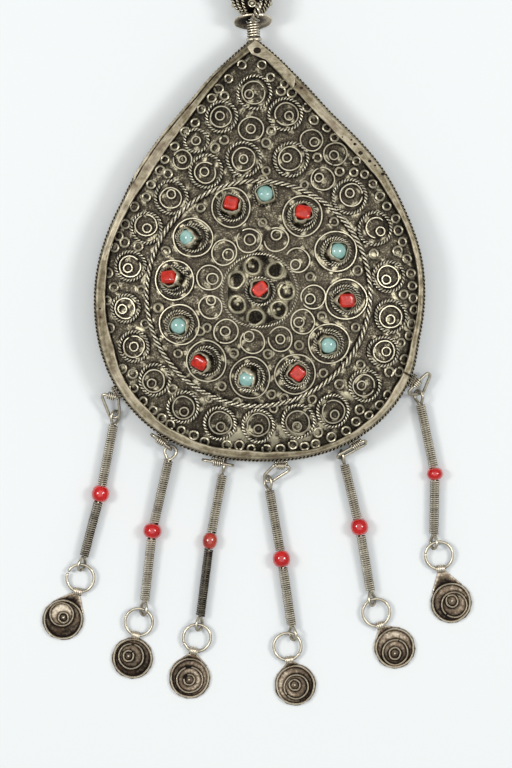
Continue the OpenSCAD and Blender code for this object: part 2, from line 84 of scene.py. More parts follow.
# A sum of sine waves round a closed path, the same each run: waves holds pairs of count and height
def wobble(t, seed, waves):
    phases = np.random.default_rng(seed).uniform(0, 2 * np.pi, len(waves))
    return sum(h * np.sin(n * t + p) for (n, h), p in zip(waves, phases))


# Surfaces: each shape is points, face arrays of 3 or 4 columns, and a tone for each point, from 1, bright,
# to -1, dark. The tone holds wear that keeps the metal bright and dark patina, and also painted highlights
# on tops and painted shade on sides, feet and hollows

# Quads between neighbours in a grid of points, numbered row by row
def gridFaces(rows, columns, closeRows, closeColumns):
    i = np.arange(rows if closeRows else rows - 1)[:, None]
    j = np.arange(columns if closeColumns else columns - 1)[None, :]
    nextRow, nextColumn = (i + 1) % rows, (j + 1) % columns
    corners = [i * columns + j, i * columns + nextColumn,
               nextRow * columns + nextColumn, nextRow * columns + j]
    return np.stack(corners, -1).reshape(-1, 4)


def poleFaces(ring, pole):  # a fan from one point to a ring of points
    return np.stack([ring, np.roll(ring, -1), np.full(len(ring), pole)], -1)


# Turns a closed shape's faces outwards: the sum of the faces' signed volumes has to be positive
def outward(points, faces):
    volume = 0.0
    for f in faces:
        for k in range(1, f.shape[1] - 1):
            a, b, c = points[f[:, 0]], points[f[:, k]], points[f[:, k + 1]]
            volume += np.einsum("ij,ij->", a, np.cross(b, c))
    return faces if volume > 0 else [f[:, ::-1] for f in faces]


# A grid of rows round an axis, closed round and with a pole at each end
def closedGrid(rows, firstPole, lastPole, tone):
    n, m = rows.shape[:2]
    points = np.concatenate([rows.reshape(-1, 3), [firstPole, lastPole]])
    faces = [
        gridFaces(n, m, False, True),
        poleFaces(np.arange(m)[::-1], n * m),
        poleFaces(np.arange((n - 1) * m, n * m), n * m + 1),
    ]
    ends = [tone[0].mean(), tone[-1].mean()]
    return points, outward(points, faces), np.concatenate([tone.ravel(), ends])


# Directions at each point of a path: along it, across it, and up and square to both
def pathFrames(path, up, closed):
    if closed:
        ahead = np.roll(path, -1, 0) - np.roll(path, 1, 0)
    else:
        ahead = np.gradient(path, axis=0)
    ahead = unit(ahead)
    across = unit(np.cross(ahead, up))
    return ahead, across, np.cross(across, ahead)


# A wire along a path: path + halfWidth cos(v) across + halfHeight sin(v) up, for v round its section.
# An open wire ends in rounded tips.
def wire(path, up, halfWidth, halfHeight=None, sides=8, closed=True, tone=None):
    halfHeight = halfWidth if halfHeight is None else halfHeight
    up = np.broadcast_to(up, path.shape)
    w = np.broadcast_to(halfWidth, len(path))
    h = np.broadcast_to(halfHeight, len(path))
    if not closed:
        ahead = unit(np.gradient(path, axis=0))
        tip = 0.5 * h[0]
        path = np.concatenate([path[:1] - ahead[:1] * tip, path, path[-1:] + ahead[-1:] * tip])
        up = np.concatenate([up[:1], up, up[-1:]])
        w = np.concatenate([w[:1] * 0.72, w, w[-1:] * 0.72])
        h = np.concatenate([h[:1] * 0.72, h, h[-1:] * 0.72])
    ahead, across, above = pathFrames(path, up, closed)
    v = 2 * np.pi * (np.arange(sides) + 0.5) / sides
    points = (path[:, None] + (w[:, None] * np.cos(v))[..., None] * across[:, None]
              + (h[:, None] * np.sin(v))[..., None] * above[:, None])
    # by default the tone is sin v: lighter on top and darker below, as wear and patina and as a painted
    # highlight on top and painted shade underneath
    shade = np.broadcast_to(np.sin(v), points.shape[:2]) if tone is None else tone(points)
    if closed:
        flat = points.reshape(-1, 3)
        return flat, outward(flat, [gridFaces(len(path), sides, True, True)]), shade.ravel().copy()
    return closedGrid(points, path[0] - ahead[0] * 0.35 * h[1], path[-1] + ahead[-1] * 0.35 * h[1], shade)


# The same path with its points spread evenly along its length
def evenly(path, up, count, closed):
    ends = np.concatenate([path, path[:1]]) if closed else path
    ups = np.concatenate([up, up[:1]]) if closed else up
    travelled = np.concatenate([[0], np.cumsum(np.linalg.norm(np.diff(ends, axis=0), axis=1))])
    at = np.linspace(0, travelled[-1], count, endpoint=not closed)
    pick = lambda values: np.stack([np.interp(at, travelled, values[:, k]) for k in range(3)], -1)
    return pick(ends), unit(pick(ups)), travelled[-1]


# Twisted wire: each strand's centre is path + offset (cos a across + sin a up), and a turns once each pitch.
# The strands leave thin dark gaps, as a slack twist does.
def rope(path, up, width, pitch, closed=True, strands=2, sides=6, stepsPerTurn=10):
    up = np.broadcast_to(up, path.shape)
    length = evenly(path, up, 2, closed)[2]
    turns = max(2, round(length / pitch))
    count = turns * stepsPerTurn + (0 if closed else 1)
    path, up = evenly(path, up, count, closed)[:2]
    across, above = pathFrames(path, up, closed)[1:]
    radius = width / 2 * (0.45 if strands == 2 else 0.41)
    offset = width / 2 - radius
    shapes = []
    for k in range(strands):
        a = 2 * np.pi * (np.arange(count) / stepsPerTurn + k / strands)
        outwards = np.cos(a)[:, None] * across + np.sin(a)[:, None] * above
        crests = lambda points, p=path, n=above: crestTone(points, p, n, width / 2, closed)
        shapes.append(wire(path + offset * outwards, outwards, radius, sides=sides, closed=closed,
                           tone=crests))
    return shapes


# Tone of a strand: how far a point stands from the rope's core and how high above it, whichever is less,
# so the crests on top carry a painted highlight while the grooves and the foot are painted dark, as shade
# and patina
def crestTone(points, path, above, half, closed):
    if not closed:
        path = np.concatenate([path[:1], path, path[-1:]])
        above = np.concatenate([above[:1], above, above[-1:]])
    away = points - path[:, None]
    raised = np.einsum("ijk,ik->ij", away, above) / half
    crest = np.linalg.norm(away, axis=-1) / half * 3.4 - 2.4
    return np.clip(np.minimum(crest, raised * 1.5 - 0.1), -1, 1)


# A helix round an axis: centre of the wire = start + along + radius (cos a side + sin a up)
def helix(start, axis, side, radius, wireRadius, pitch, length, sides, stepsPerTurn, taper=None):
    axis = unit(np.asarray(axis, float))
    side = unit(side - np.dot(side, axis) * axis)
    above = np.cross(axis, side)
    turns = length / pitch
    t = np.linspace(0, 1, int(turns * stepsPerTurn) + 1)
    a = 2 * np.pi * turns * t
    r = radius if taper is None else radius * taper(t)
    outwards = np.cos(a)[:, None] * side + np.sin(a)[:, None] * above
    path = start + (t * length)[:, None] * axis + np.reshape(r, (-1, 1)) * outwards
    # tone: bright on the outside of each turn; dark in the grooves between turns as patina and painted shade,
    # and down the coil's sides as painted shade
    away = lambda points: np.linalg.norm(np.cross(points - start, axis), axis=-1)
    raised = lambda points: (points - start)[..., 2] - ((points - start) @ axis) * axis[2]
    turnTone = lambda points: np.clip(np.minimum((away(points) - radius) / wireRadius * 2.6 - 1.4,
                                                 raised(points) / radius * 2.2 - 0.8), -1.4, 1.2)
    return wire(path, outwards, wireRadius, sides=sides, closed=False, tone=turnTone)


# A ball with rows from pole to pole: centre + radius (cos v cos u, cos v sin u, sin v), with lumps if given
def ball(centre, radii, columns, rows, axes=np.eye(3), shape=1.0, lump=None):
    v = np.linspace(-np.pi / 2, np.pi / 2, rows + 2)[1:-1]
    u = np.linspace(0, 2 * np.pi, columns, endpoint=False)
    power = lambda x: np.sign(x) * np.abs(x) ** shape
    x = power(np.cos(v))[:, None] * power(np.cos(u))
    y = power(np.cos(v))[:, None] * power(np.sin(u))
    z = np.broadcast_to(power(np.sin(v))[:, None], x.shape)
    local = np.stack([x, y, z], -1)
    if lump is not None:
        local = local * lump(u[None, :], v[:, None])[..., None]
    local = local * np.asarray(radii)
    poles = np.array([[0, 0, -1], [0, 0, 1]]) * np.asarray(radii)
    # the tone is the height on the ball: a painted highlight on top and painted shade below
    return closedGrid(centre + local @ axes, centre + poles[0] @ axes, centre + poles[1] @ axes, z * 1.0)


# A closed profile turned round an axis: centre + h axis + r (x side + y up), x and y being cos u and sin u
def turned(centre, axis, side, up, r, h, x, y):
    points = (centre + h[None, :, None] * axis + (r[None, :] * x[:, None])[..., None] * side
              + (r[None, :] * y[:, None])[..., None] * up).reshape(-1, 3)
    return points, outward(points, [gridFaces(len(x), len(r), True, True)])


# A flat slab with a rounded edge: outline points shrunk and raised in a few rows, capped on both sides
def slab(outline, low, high, edge):
    middle = outline.mean(0)
    inwards = unit(middle - outline)
    rows = [(edge, low), (0, low + edge), (0, high - edge), (edge, high)]
    points = np.stack([withZ(outline + inwards * d, z) for d, z in rows])
    # tone: dark at the lower edge and light at the upper one, as painted shade and painted light
    tone = np.stack([np.full(len(outline), t) for t in (-1, 0, 0.6, 0.8)])
    return closedGrid(points, withZ(middle, low), withZ(middle, high), tone)


# Puts the shapes into one mesh, and the mesh into the scene as a piece that rides on the brooch
def makePiece(name, shapes, material, replaced=(), strip=None, sharpAbove=40):
    count, points, faces, tones = 0, [], [], []
    for shapePoints, shapeFaces, tone in shapes:
        points.append(shapePoints)
        faces += [f + count for f in shapeFaces]
        tones.append(tone)
        count += len(shapePoints)
    points = (np.concatenate(points) + plaqueCentre) * 0.001
    sizes = np.concatenate([np.full(len(f), f.shape[1]) for f in faces])
    corners = np.concatenate([f.ravel() for f in faces])
    mesh = bpy.data.meshes.new(name)
    mesh.vertices.add(count)
    mesh.vertices.foreach_set("co", points.astype(np.float32).ravel())
    mesh.loops.add(len(corners))
    mesh.loops.foreach_set("vertex_index", corners.astype(np.int32))
    mesh.polygons.add(len(sizes))
    mesh.polygons.foreach_set("loop_start", (np.cumsum(sizes) - sizes).astype(np.int32))
    mesh.polygons.foreach_set("use_smooth", np.ones(len(sizes), bool))
    mesh.update(calc_edges=True)
    mesh.set_sharp_from_angle(angle=np.radians(sharpAbove))
    mesh.attributes.new("tone", "FLOAT", "POINT").data.foreach_set(
        "value", np.concatenate(tones).astype(np.float32))
    if strip is not None:
        mesh.attributes.new("strip", "FLOAT_VECTOR", "POINT").data.foreach_set(
            "vector", strip.astype(np.float32).ravel())
    mesh.materials.append(material)
    piece = bpy.data.objects.new(name, mesh)
    bpy.context.scene.collection.objects.link(piece)
    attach(piece, "root")
    if replaced:
        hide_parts(*replaced)


# Materials

def hexColour(text):
    s = np.array([int(text[k:k + 2], 16) for k in (1, 3, 5)]) / 255
    linear = np.where(s <= 0.04045, s / 12.92, ((s + 0.055) / 1.055) ** 2.4)
    return (*linear, 1.0)


# Adds a node: settings are its properties, and inputs are values or other nodes' outputs
def addNode(tree, kind, inputs=None, **settings):
    new = tree.nodes.new("ShaderNode" + kind)
    for key, value in settings.items():
        setattr(new, key, value)
    for key, value in (inputs or {}).items():  # key is a socket's name or its place
        if isinstance(value, bpy.types.NodeSocket):
            tree.links.new(value, new.inputs[key])
        else:
            new.inputs[key].default_value = value
    return new


def newMaterial(name):
    material = bpy.data.materials.new(name)
    material.use_nodes = True
    tree = material.node_tree
    shader = tree.nodes["Principled BSDF"]
    return material, tree, shader


perMetre = 1000  # object coordinates are in metres, so a pattern of s mm has a scale of perMetre / s


# Silver that was blackened with sulphur and rubbed back, coloured by the tone: bright where hands reach, dark
# below, with the painted highlights and painted shade that the tone also carries. bright, dull and dark are
# its three colours from the top down.
def patinaAndShadeSilver(name, bright, dull, dark, edge, roughness, noise=1.4, grain=0.5, stain=3.0,
                    stainColour="#5E4634", stainShare=0.35, bump=0.04, streaks=None):
    material, tree, shader = newMaterial(name)
    tone = addNode(tree, "Attribute", attribute_name="tone")
    place = addNode(tree, "TexCoord").outputs["Object"]
    fine, broad = (
        addNode(tree, "TexNoise", {"Vector": place, "Scale": perMetre / size, "Detail": detail,
                                   "Roughness": rough})
        for size, detail, rough in ((grain, 4.0, 0.6), (stain, 3.0, 0.55)))
    shifted = addNode(tree, "Math", {0: fine.outputs["Fac"], 1: noise, 2: tone.outputs["Fac"]},
                      operation="MULTIPLY_ADD")
    level = addNode(tree, "MapRange", {"Value": shifted.outputs[0], "From Min": edge[0] + noise / 2,
                                       "From Max": edge[1] + noise / 2}, interpolation_type="SMOOTHSTEP")
    ramp = addNode(tree, "ValToRGB", {"Fac": level.outputs["Result"]})
    ramp.color_ramp.elements[0].color = hexColour(dark)
    ramp.color_ramp.elements[1].color = hexColour(bright)
    middle = ramp.color_ramp.elements.new(0.5)
    middle.color = hexColour(dull)
    stained = addNode(tree, "MapRange", {"Value": broad.outputs["Fac"], "From Min": 0.5, "From Max": 0.72,
                                         "To Max": stainShare}, interpolation_type="SMOOTHSTEP")
    # sockets 6 and 7 are the two colours of a Mix node, whose names its number sockets have too
    colour = addNode(tree, "Mix", {"Factor": stained.outputs["Result"], 6: ramp.outputs["Color"],
                                   7: hexColour(stainColour)}, data_type="RGBA")
    rough = addNode(tree, "MapRange", {"Value": level.outputs["Result"], "To Min": roughness[0],
                                       "To Max": roughness[1]})
    tree.links.new(colour.outputs[2], shader.inputs["Base Color"])
    tree.links.new(rough.outputs["Result"], shader.inputs["Roughness"])
    shader.inputs["Metallic"].default_value = 0.9
    relief = fine.outputs["Fac"]
    if streaks:  # fine lines along a rolled or drawn strip
        strip = addNode(tree, "Attribute", attribute_name="strip")
        stretched = addNode(tree, "Mapping", {"Vector": strip.outputs["Vector"], "Scale": streaks})
        lines = addNode(tree, "TexNoise", {"Vector": stretched.outputs["Vector"], "Scale": 1.0,
                                           "Detail": 5.0})
        relief = lines.outputs["Fac"]
        tint = addNode(tree, "MapRange", {"Value": lines.outputs["Fac"], "From Min": 0.35, "From Max": 0.7,
                                          "To Min": 0.72, "To Max": 1.12})
        lined = addNode(tree, "VectorMath", {0: colour.outputs[2], "Scale": tint.outputs["Result"]},
                        operation="SCALE")
        tree.links.new(lined.outputs["Vector"], shader.inputs["Base Color"])
    raised = addNode(tree, "Bump", {"Height": relief, "Strength": 0.6, "Distance": bump * 0.001})
    tree.links.new(raised.outputs["Normal"], shader.inputs["Normal"])
    return material


# Drawn wire, flattened: bright on top and dark where it meets the sheet, as wear and patina and as a painted
# highlight and painted shade
wireSilver = patinaAndShadeSilver("drawnSilverWire", "#DDD4BA", "#80755F", "#1C1814", edge=(0.0, 0.9),
                             roughness=(0.62, 0.42))
# Two or three drawn wires twisted: painted highlights on the crests, black between the strands as patina
# and painted shade
ropeSilver = patinaAndShadeSilver("twistedSilverWire", "#E4DBC2", "#80755F", "#17130F", edge=(-0.3, 0.7),
                             roughness=(0.62, 0.38))
# Rolled sheet with solder run over it: mottled, black-brown in the hollows and along the wires, as patina
# and painted shade
sheetSilver = patinaAndShadeSilver("oxidisedSilverSheet", "#CFC6A8", "#625A4B", "#1B1814", edge=(-0.8, 1.3),
                              roughness=(0.6, 0.42), noise=2.8, grain=0.42, stain=5.0, bump=0.12,
                              stainColour="#3C322B", stainShare=0.5)
# Thin strip bent by hand: bright rims, darker towards the feet
cupSilver = patinaAndShadeSilver("bentSilverStrip", "#E0D7BC", "#857B62", "#1C1814", edge=(-0.6, 1.1),
                            roughness=(0.62, 0.42), noise=2.6, grain=0.4, stain=2.0, stainColour="#3A3526",
                            stainShare=0.7, bump=0.12)
# Strip burnished along its length: warm grey with long fine lines and brown stains
bandSilver = patinaAndShadeSilver("burnishedSilverBand", "#C2B79F", "#81775F", "#2C251D", edge=(-1.0, 1.2),
                             roughness=(0.55, 0.42), noise=2.0, grain=1.6, stain=5.0, stainColour="#5B4838",
                             stainShare=0.6, streaks=(0.25, 3.5, 3.5), bump=0.05)
# Twisted edge wire: duller, since nothing rubs the rim
edgeSilver = patinaAndShadeSilver("twistedEdgeWire", "#B0A48B", "#5F5545", "#130F0C", edge=(-0.2, 0.7),
                             roughness=(0.6, 0.42))
# Hammered sheet: floors darkened beside the wires as patina and painted shade, with a brighter, spotted
# middle and a painted reflection to one side
discSilver = patinaAndShadeSilver("hammeredSilverDisc", "#EADDC6", "#82725F", "#19130E", edge=(-0.7, 0.95),
                             roughness=(0.55, 0.34), noise=1.5, grain=0.7, stain=2.5, stainShare=0.35,
                              bump=0.1)
# Wire wound close: each turn bright on its outside, the grooves black as patina and painted shade, and the
# coil's sides painted in shade
coilSilver = patinaAndShadeSilver("woundSilverWire", "#F6ECD5", "#8E8068", "#0F0B08", edge=(-0.4, 0.75),
                             roughness=(0.6, 0.36), noise=0.7, grain=0.9, stain=4.0, stainShare=0.25)
# Wire of the loose links and rings: light, with a painted highlight on the upper side and painted shade
# below
looseSilver = patinaAndShadeSilver("polishedSilverWire", "#DDD3BC", "#847864", "#1C1611", edge=(-0.35, 0.95),
                              roughness=(0.5, 0.3), noise=1.2, grain=0.8, stainShare=0.4)
# Plain rolled sheet of the back: even grey with large faint stains
backSilver = patinaAndShadeSilver("plainSilverSheet", "#8E8676", "#6E675A", "#39332C", edge=(-0.9, 0.4),
                             roughness=(0.6, 0.4), noise=1.4, grain=1.5, stain=9.0)


# Stone or glass: clouds of a real size, in mm, between a deep and a pale colour under a gloss.
# ends are the noise levels where each colour is pure, and gloss holds the shader's own sockets.
def cloudedMaterial(name, deep, pale, cloud, detail, gloss, ends=(0.3, 0.7), bump=0):
    material, tree, shader = newMaterial(name)
    place = addNode(tree, "TexCoord").outputs["Object"]
    clouds = addNode(tree, "TexNoise", {"Vector": place, "Scale": perMetre / cloud, "Detail": detail})
    ramp = addNode(tree, "ValToRGB", {"Fac": clouds.outputs["Fac"]})
    for stop, end, colour in zip(ramp.color_ramp.elements, ends, (deep, pale)):
        stop.position = end
        stop.color = hexColour(colour)
    tree.links.new(ramp.outputs["Color"], shader.inputs["Base Color"])
    if bump:
        raised = addNode(tree, "Bump", {"Height": clouds.outputs["Fac"], "Strength": 0.5,
                                        "Distance": bump * 0.001})
        tree.links.new(raised.outputs["Normal"], shader.inputs["Normal"])
    for socket, value in gloss.items():
        shader.inputs[socket].default_value = value
    return material


# Coral, cut and polished by hand: orange-red with faint growth lumps and a soft shine
coral = cloudedMaterial("polishedCoral", "#9C1006", "#E02E0C", 1.2, 5.0, bump=0.1, gloss={
    "Roughness": 0.22, "IOR": 1.4, "Coat Weight": 0.8, "Coat Roughness": 0.1})
# Turquoise, tumbled and waxed: pale blue-green with lighter clouds, glossy
turquoise = cloudedMaterial("polishedTurquoise", "#76A69D", "#A9CCC2", 2.2, 4.0, gloss={
    "Roughness": 0.16, "IOR": 1.5, "Coat Weight": 1.0})
# Opaque red glass, drawn and tumbled smooth: deep colour under a hard gloss. One bead is browner.
glassGloss = {"Roughness": 0.08, "IOR": 1.52, "Coat Weight": 1.0}
redGlass = cloudedMaterial("redGlass", "#B00002", "#DA0604", 3, 2.0, glassGloss, ends=(0.3, 0.75))
brownGlass = cloudedMaterial("brownRedGlass", "#8E2014", "#C23A22", 3, 2.0, glassGloss, ends=(0.3, 0.75))
print("materials made")


# The plaque's outline, as in its frame: direction from the centre in degrees, and reach in half widths
plaque = {
    "halfWidth": 45.0,
    "apex": 91.4,
    "outline": [
        (91.4, 1.539), (96, 1.449), (102, 1.350), (110, 1.231), (120, 1.135), (135, 1.045), (150, 0.994),
        (180, 1.000), (210, 1.039), (225, 1.052), (240, 1.047), (270, 1.021), (300, 1.057), (315, 1.064),
        (330, 1.048), (345, 1.002), (375, 0.999), (390, 1.009), (405, 1.051), (420, 1.111), (430, 1.183),
        (440, 1.320), (446, 1.431), (451.4, 1.539),
    ],
    "backZ": 3.6,
    "rimZ": 10.4,
    "sheet": 0.6,
    "edgeWire": 0.75,
    "bandWidth": 2.7,
    "tuck": 0.9,  # how far the front plate reaches under the band
    "plateEdgeZ": 8.75,
    "crown": 7.5,
    "shoulder": 1.0,
    "bossRadius": 9.9,
    "bossRise": 3.0,
}
plateInset = plaque["edgeWire"] + plaque["bandWidth"] - plaque["tuck"]
rowAngles, rowReaches = np.array(plaque["outline"]).T
lastRow = len(rowAngles) - 1
before = np.maximum(np.arange(lastRow + 1) - 1, 0)
after = np.minimum(np.arange(lastRow + 1) + 1, lastRow)
rowSlopes = (rowReaches[after] - rowReaches[before]) / (rowAngles[after] - rowAngles[before])


# Reach of the outline in a direction: a cubic between two rows that keeps their slopes
def reach(degrees):
    a = plaque["apex"] + (np.asarray(degrees, float) - plaque["apex"]) % 360
    i = np.clip(np.searchsorted(rowAngles, a, side="right") - 1, 0, lastRow - 1)
    h = rowAngles[i + 1] - rowAngles[i]
    t = (a - rowAngles[i]) / h
    return plaque["halfWidth"] * (
        (2 * t ** 3 - 3 * t ** 2 + 1) * rowReaches[i] + (t ** 3 - 2 * t ** 2 + t) * h * rowSlopes[i]
        + (3 * t ** 2 - 2 * t ** 3) * rowReaches[i + 1] + (t ** 3 - t ** 2) * h * rowSlopes[i + 1])


# The outline moved inwards by d, which takes more along the direction where the edge runs slantwise
def innerReach(degrees, d):
    r = reach(degrees)
    change = np.degrees(np.maximum(abs(reach(degrees + 1) - r), abs(r - reach(degrees - 1))))
    return r - d * np.sqrt(1 + (change / r) ** 2)


# Height of the front plate: edge + crown (1 - t^2) + shoulder (1 - t^10) + the boss's own rise
def plateZ(x, y):
    r = np.hypot(x, y)
    t = np.minimum(r / innerReach(np.degrees(np.arctan2(y, x)), plateInset), 1)
    boss = np.where(r < plaque["bossRadius"], plaque["bossRise"] * (1 - (r / plaque["bossRadius"]) ** 3), 0)
    return plaque["plateEdgeZ"] + plaque["crown"] * (1 - t ** 2) + plaque["shoulder"] * (1 - t ** 10) + boss


# The plate's normal: (-slope in x, -slope in y, 1), with slopes taken over a step to each side
def plateNormal(x, y, step=0.3):
    dx = (plateZ(x + step, y) - plateZ(x - step, y)) / (2 * step)
    dy = (plateZ(x, y + step) - plateZ(x, y - step)) / (2 * step)
    return unit(np.stack([-dx, -dy, np.ones_like(dx)], -1))


# A circle, or part of one, laid on the plate: its points and the plate's normals there
def onPlate(centre, radius, lift, count, start=0.0, turn=360.0, wave=0.0, seed=0):
    closed = turn >= 360
    t = np.radians(start + turn * np.arange(count) / (count if closed else count - 1))
    r = radius * (1 + wobble(t, seed, [(2, wave), (3, wave * 0.6), (5, wave * 0.3)]))
    x, y = centre[0] + r * np.cos(t), centre[1] + r * np.sin(t)
    normal = plateNormal(x, y)
    return withZ(np.stack([x, y], -1), plateZ(x, y)) + lift * normal, normal


# Rings on the plate, with places and diameters in the photograph's pixels, read off it
plateRings = {
    "ropeWidth": 1.05,  # mm, two strands
    "ropePitch": 1.85,
    "plainWidth": 0.6,
    "plainHeight": 0.95,
    "smallDiameter": 2.85,
    "smallWidth": 0.7,
    "smallGaps": [0, 0, 18, 40],  # degrees; each small ring is open by one of these
    "innerDiameter": 2.9,
    "innerWidth": 0.62,
    # large motifs: place and outer diameter of the rope ring, then of the plain ring, place of the small ring
    # inside, then where the plain ring is open in degrees, from and to
    "motifs": [
        (254.2, 93.7, 36.5, 253.5, 94.0, 24.5, 249.5, 95.5, 12, 34),
        (222.0, 118.0, 34.0, 221.5, 118.0, 23.0, 220.5, 117.0, 150, 150),
        (284.7, 115.4, 36.0, 286.0, 115.4, 25.0, 288.5, 117.0, 200, 215),
        (196.7, 141.7, 27.0, 0, 0, 0, 196.7, 141.7, 0, 0),
        (206.5, 172.5, 36.0, 205.8, 173.8, 23.0, 205.0, 172.8, 26, 55),
        (243.8, 160.5, 37.0, 243.8, 160.5, 25.0, 243.8, 160.5, 280, 280),
        (290.4, 160.5, 37.0, 289.5, 160.0, 25.5, 286.5, 159.0, 330, 345),
        (172.0, 198.4, 36.0, 171.5, 199.0, 23.0, 172.0, 195.0, 90, 90),
        (348.8, 197.5, 37.0, 350.5, 196.0, 24.5, 349.0, 194.0, 348, 372),
        (147.3, 228.7, 34.0, 147.0, 226.0, 23.5, 148.0, 229.0, 90, 118),
        (374.0, 229.2, 36.0, 375.0, 228.5, 22.0, 379.5, 232.0, 263, 410),
        (131.3, 266.5, 33.0, 131.0, 267.0, 23.0, 129.0, 268.5, 20, 45),
        (387.5, 276.9, 34.0, 387.0, 277.0, 23.5, 385.2, 280.0, 140, 140),
        (126.5, 308.6, 31.0, 126.0, 308.6, 22.0, 123.4, 309.2, 300, 320),
        (390.0, 316.2, 35.0, 389.5, 317.0, 24.0, 389.4, 319.5, 40, 40),
        (134.9, 346.5, 33.0, 134.9, 346.5, 23.0, 134.9, 346.5, 100, 125),
        (382.4, 351.3, 33.0, 383.0, 351.3, 23.0, 385.2, 351.3, 210, 210),
        (155.7, 379.3, 34.0, 154.5, 380.5, 24.0, 152.5, 383.0, 70, 70),
        (364.2, 384.9, 34.0, 363.0, 385.0, 23.5, 360.8, 385.0, 330, 350),
        (183.8, 406.5, 34.0, 184.0, 407.0, 24.0, 184.6, 411.0, 10, 10),
        (332.5, 410.2, 35.0, 333.0, 411.0, 24.5, 334.2, 414.0, 120, 140),
        (220.2, 422.8, 35.0, 220.5, 422.0, 24.5, 221.0, 426.0, 20, 20),
        (298.2, 420.6, 36.0, 297.5, 421.5, 25.0, 296.8, 425.5, 160, 160),
        (258.4, 425.1, 35.0, 258.4, 424.0, 24.5, 258.4, 428.4, 200, 222),
    ],
    # plain rings in pairs: place and outer diameter, the same of the ring inside, open from and to
    "pairs": [
        (251.1, 130.2, 26, 251.1, 130.2, 11, 60, 60), (183.2, 160.5, 21, 183.2, 160.5, 9.5, 150, 170),
        (310.9, 141.4, 24, 313.7, 143.1, 11, 30, 30), (334.7, 154.9, 25, 333.3, 156.3, 11, 250, 265),
        (322.1, 180.1, 25, 318.4, 178.7, 10.5, 100, 115), (224.5, 253.4, 27, 228.5, 255.5, 13, 40, 40),
        (249.0, 241.6, 26, 250.0, 240.6, 13, 120, 145), (276.0, 240.6, 26, 276.0, 236.0, 12, 110, 190),
        (297.3, 261.0, 26, 295.0, 265.5, 12, 150, 215), (210.0, 278.4, 27, 213.0, 279.5, 13, 330, 330),
        (211.0, 307.5, 25, 211.5, 301.0, 11, 60, 60), (312.6, 297.4, 26, 309.5, 299.5, 12, 200, 220),
        (302.2, 322.0, 26, 298.5, 322.5, 12, 300, 300), (226.3, 331.6, 26, 225.5, 331.5, 11.5, 230, 242),
        (252.5, 341.6, 26, 249.0, 336.5, 12, 95, 140), (280.1, 339.2, 26, 280.1, 339.2, 11, 150, 175),
    ],
    # small rings: place only
    "singles": [
        (261.5, 65.5), (201.2, 208.7), (262.5, 223.7), (333.6, 222.5), (357, 271.1), (309.6, 277.3),
        (166.3, 251.5), (158.4, 308.2), (200.5, 331.4), (207.3, 328), (321.4, 316.6), (355, 327.6),
        (298.7, 345.4), (178.6, 353.6), (234.1, 353.3), (267.8, 354.1), (221.9, 385.9), (271.3, 394.2),
        (322.9, 372.9), (224.5, 141), (215.5, 149), (271, 132), (266, 144), (317, 158.5), (168.5, 174.5),
        (339, 172.5), (266, 172), (373, 254.5), (142, 290), (159.5, 308), (146, 324), (209, 398), (339, 384),
        (360, 364.5), (273.5, 408), (237, 402), (284, 398), (312, 399), (173, 389), (345, 361), (139, 247),
        (238, 179), (263, 181), (304, 186), (220, 196),
    ],
    # small rings beside the band: direction from the centre in degrees, and mm inside the outline
    "besideBand": [
        (94.5, 4.06), (98.3, 4.45), (101.4, 4.45), (103.9, 4.65), (107.7, 4.25), (110.9, 5.44),
        (100.2, 7.03), (115.0, 4.85), (120.3, 5.25), (125.6, 5.25), (129.4, 5.84), (135.4, 5.64),
        (140.1, 6.04), (145.8, 4.25), (153.3, 4.06), (158.4, 3.66), (163.1, 3.66), (159.9, 5.84),
        (172.8, 3.66), (178.2, 5.64), (183.2, 4.06), (193.5, 4.13), (209.2, 4.29), (212.8, 6.24),
        (217.3, 4.45), (223.1, 4.29), (227.9, 4.45), (232.1, 4.29), (235.9, 4.13), (240.4, 4.25),
        (245.2, 4.45), (249.7, 3.66), (257.8, 4.06), (262.3, 4.45), (266.8, 3.74), (272.4, 3.66),
        (277.4, 3.66), (282.2, 4.45), (286.1, 3.46), (290.1, 3.46), (292.5, 6.24), (296.2, 3.86),
        (301.8, 3.66), (306.5, 4.45), (311.5, 3.66), (310.2, 6.44), (316.6, 3.58), (321.1, 3.58),
        (328.2, 6.44), (330.1, 3.98), (334.9, 3.46), (340.1, 5.25), (343.6, 3.26), (348.1, 3.26),
        (353.5, 3.06), (357.7, 3.58), (359.0, 6.24), (362.3, 3.86), (367.0, 4.06), (372.7, 4.45),
        (376.6, 6.44), (379.4, 4.45), (384.0, 4.45), (388.4, 3.86), (394.1, 4.65), (398.6, 5.05),
        (403.8, 5.05), (408.4, 5.44), (413.6, 4.85), (411.9, 7.43), (424.3, 4.77), (427.9, 4.25),
        (432.7, 5.25), (435.8, 4.45), (441.0, 4.65), (443.4, 4.45), (444.2, 6.63), (447.3, 6.04),
    ],
}

